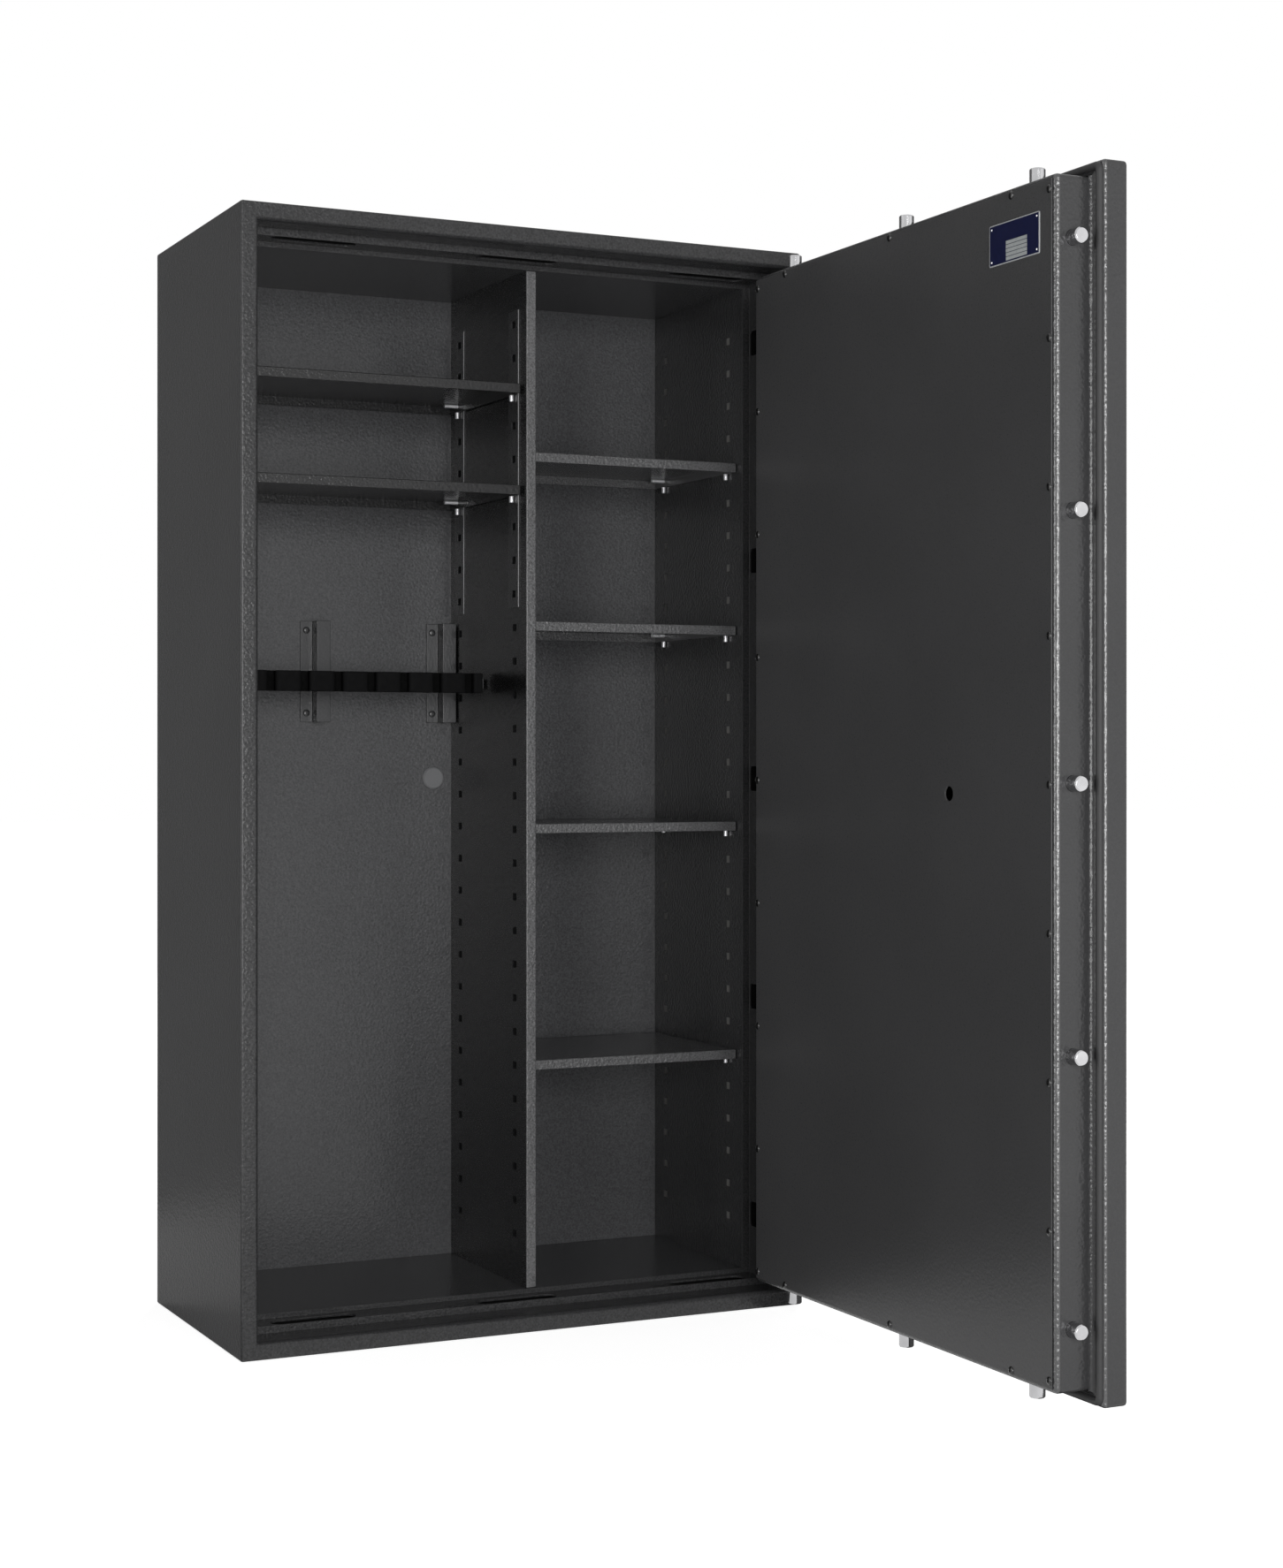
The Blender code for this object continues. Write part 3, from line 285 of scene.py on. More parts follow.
def remap(tree, value, low, high, to_low, to_high):
    """A value moved from one range to another and held inside it."""
    given = {"Value": value, "From Min": low, "From Max": high, "To Min": to_low, "To Max": to_high}
    return add_node(tree, "ShaderNodeMapRange", given).outputs["Result"]


def noise(tree, place, scale, detail=2.0, roughness=0.5):
    """Noise from 0 to 1 at so many features a metre."""
    given = {"Vector": place, "Scale": scale, "Detail": detail, "Roughness": roughness}
    return add_node(tree, "ShaderNodeTexNoise", given).outputs["Fac"]


def new_group(name, inputs, outputs):
    """An empty shader group; each socket is a name with a kind, and an input also has a value."""
    tree = bpy.data.node_groups.new(name, "ShaderNodeTree")
    for label, kind, value in inputs:
        socket = tree.interface.new_socket(label, in_out="INPUT", socket_type=kind)
        socket.default_value = value
    for label, kind in outputs:
        tree.interface.new_socket(label, in_out="OUTPUT", socket_type=kind)
    given = tree.nodes.new("NodeGroupInput")
    result = tree.nodes.new("NodeGroupOutput")
    return tree, given, result


def grey_shade(tree, tone, shade):
    """A tone made lighter or darker by one value."""
    grey = add_node(tree, "ShaderNodeCombineColor", {0: shade, 1: shade, 2: shade}).outputs[0]
    return mix_colours(tree, 1.0, tone, grey, "MULTIPLY")


def give_finish(tree, result, colour, rough, bump):
    """Link a finish's three results to its group's outputs."""
    tree.links.new(colour, result.inputs["Colour"])
    tree.links.new(rough, result.inputs["Roughness"])
    tree.links.new(bump.outputs["Normal"], result.inputs["Normal"])


def hammered_group():
    """Hammered paint: pools a few millimetres wide under a finer grain, flecks of painted sparkle and a
    drifting tone.
    """
    tree, given, result = new_group(
        "hammered_paint",
        [("Tone", "NodeSocketColor", (0.05, 0.05, 0.05, 1)), ("Pools", "NodeSocketFloat", OUTER_POOLS),
         ("Relief", "NodeSocketFloat", 0.4), ("Gloss", "NodeSocketFloat", 0.3),
         ("Sparkle", "NodeSocketFloat", 0.2), ("Front painted sparkle", "NodeSocketFloat", 0.0)], FINISH)
    pool_scale = given.outputs["Pools"]
    place = add_node(tree, "ShaderNodeTexCoord").outputs["Object"]
    front = add_node(tree, "ShaderNodeAttribute", attribute_name=FRONT_MASK).outputs["Fac"]
    pools = add_node(tree, "ShaderNodeTexVoronoi", {"Vector": place, "Scale": pool_scale},
                     feature="SMOOTH_F1").outputs["Distance"]
    grain = noise(tree, place, maths(tree, "MULTIPLY", pool_scale, GRAIN_FINER), 2.0, 0.6)
    height = maths(tree, "ADD", pools, maths(tree, "MULTIPLY", grain, GRAIN_SHARE))
    bump = add_node(tree, "ShaderNodeBump", {"Height": height, "Strength": given.outputs["Relief"],
                                             "Distance": PAINT_DEPTH})
    drift = remap(tree, noise(tree, place, DRIFT_SCALE, 3.0), 0.3, 0.7, 0.94, 1.06)
    # The flecks are painted sparkle: grain in the tone that stands for glints, stronger on faces that
    # look to the front.
    flecks = noise(tree, place, maths(tree, "MULTIPLY", pool_scale, FLECK_FINER), 2.0, 0.6)
    amount = maths(tree, "MULTIPLY_ADD", front, given.outputs["Front painted sparkle"], given.outputs["Sparkle"])
    fleck = maths(tree, "MULTIPLY_ADD", maths(tree, "SUBTRACT", flecks, 0.5), amount, 1.0)
    shade = maths(tree, "MULTIPLY", drift, maths(tree, "MAXIMUM", fleck, 0.2))
    rough = maths(tree, "ADD", given.outputs["Gloss"], remap(tree, grain, 0.3, 0.7, -0.04, 0.06))
    give_finish(tree, result, grey_shade(tree, given.outputs["Tone"], shade), rough, bump)
    return tree


def worked_metal_group():
    """Machined metal: fine rings across the work's length, the second UV direction, and handling haze."""
    tree, given, result = new_group(
        "worked_metal",
        [("Tone", "NodeSocketColor", (0.8, 0.8, 0.8, 1)), ("Rings", "NodeSocketFloat", 900.0),
         ("Relief", "NodeSocketFloat", 0.05), ("Gloss", "NodeSocketFloat", 0.15)], FINISH)
    spots = add_node(tree, "ShaderNodeTexCoord")
    along = add_node(tree, "ShaderNodeSeparateXYZ", {0: spots.outputs["UV"]}).outputs[1]
    ring_inputs = {"W": along, "Scale": given.outputs["Rings"], "Detail": 2.0}
    rings = add_node(tree, "ShaderNodeTexNoise", ring_inputs, noise_dimensions="1D").outputs["Fac"]
    haze = noise(tree, spots.outputs["Object"], HAZE_SCALE, 4.0, 0.6)
    bump = add_node(tree, "ShaderNodeBump", {"Height": rings, "Strength": given.outputs["Relief"],
                                             "Distance": METAL_DEPTH})
    shade = remap(tree, haze, 0.3, 0.7, 0.92, 1.04)
    rough = maths(tree, "ADD", given.outputs["Gloss"], remap(tree, haze, 0.3, 0.7, -0.03, 0.08))
    give_finish(tree, result, grey_shade(tree, given.outputs["Tone"], shade), rough, bump)
    return tree


HAMMERED = hammered_group()
WORKED = worked_metal_group()


def new_material(name, **sockets):
    """A new material with its tree and its Principled shader, whose sockets take plain values."""
    made = bpy.data.materials.new(name)
    made.use_nodes = True
    shader = made.node_tree.nodes["Principled BSDF"]
    for key, value in sockets.items():
        shader.inputs[key.replace("_", " ")].default_value = value
    return made, made.node_tree, shader


def material_with(name, group, values, **sockets):
    """A Principled material whose colour, roughness and normal come from a group with its own values."""
    made, tree, shader = new_material(name, **sockets)
    effect = add_node(tree, "ShaderNodeGroup", values, node_tree=group)
    for given, taken in (("Colour", "Base Color"), ("Roughness", "Roughness"), ("Normal", "Normal")):
        tree.links.new(effect.outputs[given], shader.inputs[taken])
    return made


def paint(name, tone, relief, gloss, specular, pools=INNER_POOLS, sparkle=0.2, front_painted_sparkle=0.0):
    """Graphite paint in one grade of texture."""
    values = {"Tone": (*tone, 1), "Pools": pools, "Relief": relief, "Gloss": gloss, "Sparkle": sparkle,
              "Front painted sparkle": front_painted_sparkle}
    return material_with(name, HAMMERED, values, Specular_IOR_Level=specular)


def metal(name, tone, rings, relief, gloss, metallic=1.0):
    """Bare or plated metal in one grade of finish; a dull plating is less metallic."""
    values = {"Tone": (*tone, 1), "Rings": rings, "Relief": relief, "Gloss": gloss}
    return material_with(name, WORKED, values, Metallic=metallic)


GRAPHITE = (0.047, 0.047, 0.0485)
# A paint's front sparkle is painted sparkle on its faces that look to the front.
CASING_PAINT = paint("casing_paint", (0.037, 0.037, 0.0382), relief=0.40, gloss=0.20, specular=0.30,
                     pools=OUTER_POOLS, sparkle=0.1, front_painted_sparkle=FRONT_PAINTED_SPARKLE)
DOOR_PAINT = paint("door_paint", GRAPHITE, relief=0.45, gloss=0.18, specular=0.35, pools=OUTER_POOLS,
                   sparkle=0.1, front_painted_sparkle=0.2)
FOLD_PAINT = paint("fold_paint", GRAPHITE, relief=0.70, gloss=0.14, specular=0.9, pools=OUTER_POOLS)
COVER_PAINT = paint("cover_paint", (0.053, 0.053, 0.0543), relief=0.15, gloss=0.30, specular=0.30,
                    pools=OUTER_POOLS)
# The liner's side walls: a darker copy of the liner paint, painted shade
WALL_SHADED_PAINT = paint("wall_shaded_paint", (0.034, 0.0343, 0.0355), relief=0.18, gloss=0.20, specular=0.40)
LINER_PAINT = paint("liner_paint", (0.052, 0.0525, 0.0545), relief=0.20, gloss=0.19, specular=0.35)
# The liner's back: a lighter copy of the liner paint, painted light, with strong painted sparkle
BACK_LIT_PAINT = paint("back_lit_paint", (0.060, 0.0605, 0.0632), relief=0.25, gloss=0.19, specular=0.35,
                   sparkle=1.4)
# The divider: a very dark copy of the paint for its sides, painted shade, and a pale copy for its front,
# painted highlight
DIVIDER_SHADED_PAINT = paint("divider_shaded_paint", (0.011, 0.0112, 0.0117), relief=0.15, gloss=0.24, specular=0.45)
EDGE_HIGHLIGHT_PAINT = paint("edge_highlight_paint", (0.112, 0.112, 0.1147), relief=0.60, gloss=0.18, specular=0.45,
                   front_painted_sparkle=FRONT_PAINTED_SPARKLE)
# Shelves: a dark copy of the shelf paint on the left, painted shade, and a light copy on the right,
# painted light
LEFT_SHELF_SHADED_PAINT = paint("left_shelf_shaded_paint", (0.023, 0.023, 0.0237), relief=0.40, gloss=0.18,
                         specular=0.35, front_painted_sparkle=FRONT_PAINTED_SPARKLE)
RIGHT_SHELF_LIT_PAINT = paint("right_shelf_lit_paint", (0.098, 0.098, 0.1005), relief=0.60, gloss=0.16,
                          specular=0.60, front_painted_sparkle=FRONT_PAINTED_SPARKLE)
STRIP_PAINT = paint("strip_paint", (0.040, 0.040, 0.0412), relief=0.30, gloss=0.28, specular=0.40,
                    front_painted_sparkle=2.2)
# Painted highlight: a pale copy of the paint for the strips' front rims
RIM_HIGHLIGHT_PAINT = paint("rim_highlight_paint", (0.26, 0.26, 0.265), relief=0.30, gloss=0.25, specular=0.50)
# Painted shade: a dark copy of the paint for the frame's return on the hinge side
PAINTED_SHADE = paint("painted_shade", (0.029, 0.029, 0.030), relief=0.30, gloss=0.20, specular=0.30)
PLUG_GREY = paint("plug_plastic", (0.155, 0.157, 0.162), relief=0.10, gloss=0.40, specular=0.35,
                  pools=800.0)
RUBBER = paint("seal_rubber", (0.040, 0.040, 0.041), relief=0.12, gloss=0.55, specular=0.3, pools=900.0)
SCREW_BLACK = paint("screw_black", (0.006, 0.006, 0.006), relief=0.05, gloss=0.16, specular=0.6,
                    pools=700.0)
CHROME = metal("bolt_chrome", (0.50, 0.50, 0.51), rings=700.0, relief=0.05, gloss=0.08)
CLIP_ZINC = metal("clip_zinc", (0.88, 0.88, 0.90), rings=900.0, relief=0.05, gloss=0.28, metallic=0.45)
STEEL = metal("satin_steel", (0.42, 0.42, 0.43), rings=1500.0, relief=0.10, gloss=0.28)


def webbing_material():
    """Black webbing: ribs across it and picks along it, by UV in metres, with painted shade in the sewn
    lines.
    """
    made, tree, shader = new_material("black_webbing", Specular_IOR_Level=0.05)
    coords = add_node(tree, "ShaderNodeTexCoord")
    spots = add_node(tree, "ShaderNodeSeparateXYZ", {0: coords.outputs["UV"]})
    ribs = maths(tree, "SINE", maths(tree, "MULTIPLY", spots.outputs[0], 2 * pi / RIB_PITCH))
    picks = maths(tree, "SINE", maths(tree, "MULTIPLY", spots.outputs[1], 2 * pi / PICK_PITCH))
    weave = maths(tree, "ADD", ribs, maths(tree, "MULTIPLY", ribs, picks))
    bump = add_node(tree, "ShaderNodeBump", {"Height": weave, "Strength": 0.3, "Distance": WEB_DEPTH})
    fuzz = noise(tree, coords.outputs["Object"], 160.0, 3.0)
    colour = mix_colours(tree, remap(tree, weave, -1.0, 2.0, 0.0, 1.0), (0.0040, 0.0040, 0.0042, 1),
                         (0.0090, 0.0090, 0.0095, 1))
    depth = add_node(tree, "ShaderNodeSeparateXYZ", {0: coords.outputs["Object"]}).outputs[1]
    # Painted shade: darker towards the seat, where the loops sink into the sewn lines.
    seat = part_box("barrel_strap")[1][1] - 1.5 * WEB_SHEET
    sunk = remap(tree, depth, seat - SUNK_FROM * LOOP_RISE, seat - SUNK_TO * LOOP_RISE, 0.0, SUNK_SHADE)
    colour = mix_colours(tree, sunk, colour, (0.0, 0.0, 0.0, 1))
    tree.links.new(colour, shader.inputs["Base Color"])
    tree.links.new(remap(tree, fuzz, 0.3, 0.7, 0.60, 0.78), shader.inputs["Roughness"])
    tree.links.new(bump.outputs["Normal"], shader.inputs["Normal"])
    return made


def band_mask(tree, value, low, high):
    """One inside a band of a value and zero outside it, with a soft edge."""
    above = remap(tree, value, low - BAND_SOFT, low + BAND_SOFT, 0.0, 1.0)
    below = remap(tree, value, high - BAND_SOFT, high + BAND_SOFT, 1.0, 0.0)
    return maths(tree, "MULTIPLY", above, below)


def plate_material():
    """Blank plate: dark blue enamel, a silver border and an empty ruled field, by UV in metres."""
    made, tree, shader = new_material("plate_enamel", Specular_IOR_Level=0.15)
    coords = add_node(tree, "ShaderNodeTexCoord")
    spots = add_node(tree, "ShaderNodeSeparateXYZ", {0: coords.outputs["UV"]})
    across, up = spots.outputs[0], spots.outputs[1]
    from_end = maths(tree, "SUBTRACT", PLATE_LENGTH / 2, maths(tree, "ABSOLUTE", across))
    from_side = maths(tree, "SUBTRACT", PLATE_HEIGHT / 2, maths(tree, "ABSOLUTE", up))
    from_rim = maths(tree, "MINIMUM", from_end, from_side)
    border = remap(tree, from_rim, PLATE_BORDER - BORDER_SOFT, PLATE_BORDER + BORDER_SOFT, 1.0, 0.0)
    columns = band_mask(tree, across, *FIELD_ACROSS)
    field = maths(tree, "MULTIPLY", columns, band_mask(tree, up, *FIELD_UP))
    pitch = (FIELD_UP[1] - FIELD_UP[0]) / FIELD_ROWS
    row = maths(tree, "PINGPONG", maths(tree, "SUBTRACT", up, FIELD_UP[0]), pitch / 2)
    field = maths(tree, "MULTIPLY", field, remap(tree, row, *RULE_HALF, 0.15, 1.0))
    drift = remap(tree, noise(tree, coords.outputs["Object"], 220.0, 3.0), 0.3, 0.7, 0.0, 1.0)
    enamel = mix_colours(tree, drift, (0.0035, 0.0055, 0.032, 1), (0.0050, 0.0070, 0.040, 1))
    silver = mix_colours(tree, drift, (0.40, 0.41, 0.42, 1), (0.46, 0.47, 0.48, 1))
    pale = mix_colours(tree, drift, (0.36, 0.38, 0.38, 1), (0.42, 0.44, 0.44, 1))
    colour = mix_colours(tree, field, mix_colours(tree, border, enamel, silver), pale)
    tree.links.new(colour, shader.inputs["Base Color"])
    tree.links.new(remap(tree, drift, 0.0, 1.0, 0.30, 0.40), shader.inputs["Roughness"])
    return made


def filler_material():
    """Pale mineral filling, with painted shade over its front end, where it lines the pockets of the
    bolts.
    """
    made, tree, shader = new_material("fire_filler", Specular_IOR_Level=0.1)
    place = add_node(tree, "ShaderNodeTexCoord").outputs["Object"]
    depth = add_node(tree, "ShaderNodeSeparateXYZ", {0: place}).outputs[1]
    # Painted shade, fading out a little behind the liner's front edge.
    pocket_shade = remap(tree, depth, FILLER_SHADE_END - FILLER_SHADE_FADE, FILLER_SHADE_END, 1.0, 0.0)
    crumbs = noise(tree, place, 90.0, 4.0, 0.6)
    pale = mix_colours(tree, crumbs, (0.15, 0.147, 0.14, 1), (0.25, 0.247, 0.24, 1))
    tree.links.new(mix_colours(tree, pocket_shade, pale, (0.012, 0.012, 0.012, 1)), shader.inputs["Base Color"])
    tree.links.new(remap(tree, crumbs, 0.3, 0.7, 0.80, 0.92), shader.inputs["Roughness"])
    return made


WEBBING = webbing_material()
ENAMEL = plate_material()
FILLER = filler_material()


# Surfaces

def grid_faces(rows, columns, close_rows=False, close_columns=False):
    """Corner numbers of the quads between neighbouring rows and columns, as one array."""
    row = np.arange(rows if close_rows else rows - 1)[:, None]
    column = np.arange(columns if close_columns else columns - 1)[None, :]
    next_row = (row + 1) % rows
    next_column = (column + 1) % columns
    corners = (row * columns + column, row * columns + next_column,
               next_row * columns + next_column, next_row * columns + column)
    spread = [np.broadcast_to(corner, (row.size, column.size)) for corner in corners]
    return np.stack(spread, -1).reshape(-1, 4)


def grid_surface(grid, close_rows=False, close_columns=False, caps=False, uv=None):
    """Points of a grid with its quads, and with caps also the first and the last row as flat ends."""
    rows, columns = grid.shape[:2]
    faces = grid_faces(rows, columns, close_rows, close_columns).tolist()
    if caps:
        faces.append(list(range(columns))[::-1])
        faces.append(list(range((rows - 1) * columns, rows * columns)))
    spots = np.zeros((rows * columns, 2)) if uv is None else uv.reshape(-1, 2)
    return grid.reshape(-1, 3), faces, spots


def new_object(name, data):
    """A new object in the scene."""
    item = bpy.data.objects.new(name, data)
    bpy.context.scene.collection.objects.link(item)
    return item


def settle(mesh_object, material, body, replaced):
    """Give a piece its finish, its body and the solids that it stands for."""
    mesh_object.data.materials.append(material)
    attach(mesh_object, body)
    if replaced:
        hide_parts(*replaced)
    return mesh_object


def read_faces(item, key, width=3, kind=np.float32):
    """One property of all of a piece's faces, as rows of an array."""
    values = np.empty(width * len(item.data.polygons), dtype=kind)
    item.data.polygons.foreach_get(key, values)
    return values.reshape(-1, width)


def flat_shading(item):
    """Smooth shading, flat on flat faces and creased at sharp edges, and the mask of front faces."""
    mask = item.data.attributes.new(FRONT_MASK, "FLOAT", "FACE")
    mask.data.foreach_set("value", np.clip(-read_faces(item, "normal")[:, 1], 0, 1))
    item.data.shade_smooth()
    item.data.set_sharp_from_angle(angle=SMOOTH)
    step = item.modifiers.new("flat_faces", "WEIGHTED_NORMAL")
    step.keep_sharp = True


def build(name, surfaces, material, body, replaced=()):
    """Join surfaces into one piece: all points and faces in one mesh, doubles merged, faces outwards."""
    points, faces, spots = [], [], []
    start = 0
    for surface_points, surface_faces, surface_spots in surfaces:
        points.append(surface_points)
        spots.append(surface_spots)
        faces += [[corner + start for corner in face] for face in surface_faces]
        start += len(surface_points)
    mesh = bpy.data.meshes.new(name)
    mesh.from_pydata(np.concatenate(points).tolist(), [], faces)
    corners = np.empty(len(mesh.loops), dtype=np.int32)
    mesh.loops.foreach_get("vertex_index", corners)
    layer = mesh.uv_layers.new(name="surface")
    layer.data.foreach_set("uv", np.concatenate(spots)[corners].astype(np.float32).ravel())
    work = bmesh.new()
    work.from_mesh(mesh)
    bmesh.ops.remove_doubles(work, verts=work.verts, dist=MERGE)
    bmesh.ops.dissolve_degenerate(work, edges=work.edges, dist=MERGE)
    bmesh.ops.recalc_face_normals(work, faces=work.faces)
    work.to_mesh(mesh)
    work.free()
    item = new_object(name, mesh)
    flat_shading(item)
    return settle(item, material, body, replaced)


def across(axis):
    """Two directions square to an axis, right-handed with it."""
    helper = UP if abs(axis[2]) < 0.9 else OUTWARD
    first = np.cross(helper, axis)
    first = first / np.linalg.norm(first)
    return first, np.cross(axis, first)


def lathe(base, axis, profile, sides=40):
    """A turned surface: each profile point is a height along the axis and a radius carried round it."""
    profile = np.asarray(profile, float)
    first, second = across(axis)
    turn = np.linspace(0, 2 * pi, sides, endpoint=False)
    spoke = np.cos(turn)[:, None] * first + np.sin(turn)[:, None] * second
    grid = np.asarray(base) + profile[:, 0, None, None] * axis + profile[:, 1, None, None] * spoke[None]
    uv = np.stack(np.broadcast_arrays(turn[None] / (2 * pi), profile[:, :1]), -1)
    return grid_surface(grid, close_columns=True, uv=uv)


def arc(centre, radius, start, end, steps=6):
    """Points of a profile on a circular arc; angles in degrees, from the height's way to the radius's."""
    turn = np.radians(np.linspace(start, end, steps))
    return np.stack([centre[0] + radius * np.cos(turn), centre[1] + radius * np.sin(turn)], -1)


def rounded_ring(half_u, half_v, corner, steps):
    """A rectangle's outline with quarter-round corners, counter-clockwise."""
    turn = np.linspace(0, pi / 2, steps)
    quarters = []
    for quarter, (side, end) in enumerate(((1, 1), (-1, 1), (-1, -1), (1, -1))):
        angle = turn + quarter * pi / 2
        middle = np.array([side * (half_u - corner), end * (half_v - corner)])
        quarters.append(middle + corner * np.stack([np.cos(angle), np.sin(angle)], -1))
    return np.concatenate(quarters)


def slab(centre, normal, along, half_u, half_v, corner, rings, steps=6, flat_uv=False):
    """A slab of rounded outline: each ring is drawn in by an inset and lifted along the normal."""
    up = np.cross(normal, along)
    rows = []
    for inset, height in rings:
        ring = rounded_ring(half_u - inset, half_v - inset, max(corner - inset, LEAST_CORNER), steps)
        rows.append(np.asarray(centre) + ring[:, :1] * along + ring[:, 1:] * up + height * normal)
    grid = np.stack(rows)
    uv = None
    if flat_uv:
        offset = grid - np.asarray(centre)
        uv = np.stack([offset @ along, offset @ up], -1)
    return grid_surface(grid, close_columns=True, caps=True, uv=uv)


def round_rim(height, radius, steps=5):
    """Rings of a plain slab from its base to its top, with the top edge rounded."""
    turn = np.linspace(0, pi / 2, steps)
    rim = [(radius * (1 - np.cos(t)), height - radius + radius * np.sin(t)) for t in turn]
    return [(0.0, 0.0)] + rim


def dome(rise, radius, steps):
    """A rivet head's profile: a quarter of an ellipse from the rim to the crown."""
    turn = np.linspace(pi / 2, 0, steps)
    return np.column_stack([rise * np.cos(turn), radius * np.sin(turn)])


def unit(rows):
    """Rows of an array scaled to length one."""
    return rows / np.linalg.norm(rows, axis=1)[:, None]


def tube(path, radius, sides=12):
    """A round bar along straight runs, with flat ends and rings square to the mean of the runs."""
    path = np.asarray(path, float)
    runs = unit(np.diff(path, axis=0))
    way = unit(np.vstack([runs[:1], runs[:-1] + runs[1:], runs[-1:]]))
    first = np.stack([across(step)[0] for step in way])
    second = np.cross(way, first)
    turn = np.linspace(0, 2 * pi, sides, endpoint=False)
    spoke = np.cos(turn)[None, :, None] * first[:, None] + np.sin(turn)[None, :, None] * second[:, None]
    length = np.concatenate([[0], np.cumsum(np.linalg.norm(np.diff(path, axis=0), axis=1))])
    uv = np.stack(np.broadcast_arrays(turn[None] / (2 * pi), length[:, None]), -1)
    return grid_surface(path[:, None] + radius * spoke, close_columns=True, caps=True, uv=uv)


def eased_copy(node, material, width, body="carcass", segments=2, pick=None):
    """A solid's own mesh, merged into flat faces, with its sharp edges (or those picked) rounded."""
    work = bmesh.new()
    work.from_mesh(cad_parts[node].data)
    bmesh.ops.remove_doubles(work, verts=work.verts, dist=MERGE)
    bmesh.ops.dissolve_limit(work, angle_limit=FLAT, verts=work.verts, edges=work.edges)
    edges = [edge for edge in work.edges if len(edge.link_faces) == 2 and edge.calc_face_angle() > SHARP]
    if pick is not None:
        edges = [edge for edge in edges if pick(edge)]
    if width > 0:
        bmesh.ops.bevel(work, geom=edges, offset=width, segments=segments, profile=0.5, affect="EDGES",
                        clamp_overlap=True)
    mesh = bpy.data.meshes.new(f"{node}_eased")
    work.to_mesh(mesh)
    work.free()
    mesh.materials.clear()
    item = new_object(f"{node}_eased", mesh)
    flat_shading(item)
    return settle(item, material, body, (node,))


def box_of(node):
    """A solid's box as two arrays: its low corner and its high corner."""
    low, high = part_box(node)
    return np.array(low), np.array(high)


# Cabinet pieces

def repaint(item, material, chosen):
    """Give some of a piece's faces another paint, chosen from the arrays of their middles and normals."""
    item.data.materials.append(material)
    paints = read_faces(item, "material_index", 1, np.int32).ravel()
    repainted = chosen(read_faces(item, "center"), read_faces(item, "normal"))
    paints[repainted] = len(item.data.materials) - 1
    item.data.polygons.foreach_set("material_index", paints)


def dress_cabinet():
    """Casing, frame, divider, strips, brackets and hinges with rounded folds, and painted shade and
    highlights on some faces.
    """
    eased_copy("outer_casing", CASING_PAINT, 0.0)
    stop = eased_copy("bolt_frame", CASING_PAINT, FRAME_EASE)
    panel = box_of("liner_right")[0][0]
    flange_end = box_of("bolt_frame")[1][1] - RETURN_DEPTH
    # The frame's return on the hinge side takes painted shade.
    repaint(stop, PAINTED_SHADE, lambda middle, normal: (middle[:, 0] > panel)
            & (middle[:, 1] > flange_end))
    front = box_of("divider")[0][1]

    def on_front(edge):
        """Whether an edge lies on the divider's front."""
        return all(abs(corner.co.y - front) < 10 * MERGE for corner in edge.verts)

    # The divider's sides take painted shade, and its front faces a painted highlight with stronger
    # painted sparkle.
    upright = eased_copy("divider", DIVIDER_SHADED_PAINT, DIVIDER_FOLD, segments=4, pick=on_front)
    repaint(upright, EDGE_HIGHLIGHT_PAINT, lambda middle, normal: (middle[:, 1] < front + DIVIDER_FOLD)
            & (normal[:, 1] < -EDGE_FACING))
    for side in ("left", "divider"):
        for end in ("front", "rear"):
            name = f"strip_{side}_{end}"
            strip = eased_copy(name, STRIP_PAINT, STRIP_EASE)
            # Each strip's front rim takes a painted highlight.
            rim = box_of(name)[0][1] + RIM_DEPTH
            repaint(strip, RIM_HIGHLIGHT_PAINT, lambda middle, normal: (middle[:, 1] < rim)
                    & (normal[:, 1] < -RIM_FACING))
    for side in ("left", "right"):
        eased_copy(f"rack_bracket_{side}", LINER_PAINT, FRAME_EASE)
    for level in ("lower", "upper"):
        eased_copy(f"hinge_bracket_{level}", STEEL, FRAME_EASE)


def shelf_base(name):
    """The tray's lower edge: its clips hang below it, so it is counted down from the top."""
    return box_of(name)[1][2] - SHELF_HEIGHT


def shelf_ends(name):
    """The tray's two ends in X: the clips' tongues stand out beyond them."""
    low, high = box_of(name)
    return low[0] + SHELF_END_PROUD, high[0] - SHELF_END_PROUD


def make_shelf(name):
    """A folded tray: rounded rectangles up the hollow, over the lip and round the upper fold."""
    low, high = box_of(name)
    base = shelf_base(name)
    ends = shelf_ends(name)
    centre = np.array([np.mean(ends), (low[1] + high[1]) / 2, base])
    half = ((ends[1] - ends[0]) / 2, (high[1] - low[1]) / 2)
    hollow = [(SHELF_SHEET, SHELF_HEIGHT - SHELF_SHEET), (SHELF_SHEET, SHELF_EASE)]
    lip = [(SHELF_SHEET - SHELF_EASE, 0.0), (SHELF_EASE, 0.0), (0.0, SHELF_EASE)]
    rings = hollow + lip + round_rim(SHELF_HEIGHT, SHELF_FOLD)[1:]
    tray = slab(centre, UP, OUTWARD, half[0], half[1], SHELF_CORNER, rings, steps=4)
    # Left shelves take the dark copy, painted shade; right shelves the light copy, painted light.
    material = LEFT_SHELF_SHADED_PAINT if name.startswith("shelf_left") else RIGHT_SHELF_LIT_PAINT
    build(f"{name}_tray", [tray], material, "carcass", (name,))


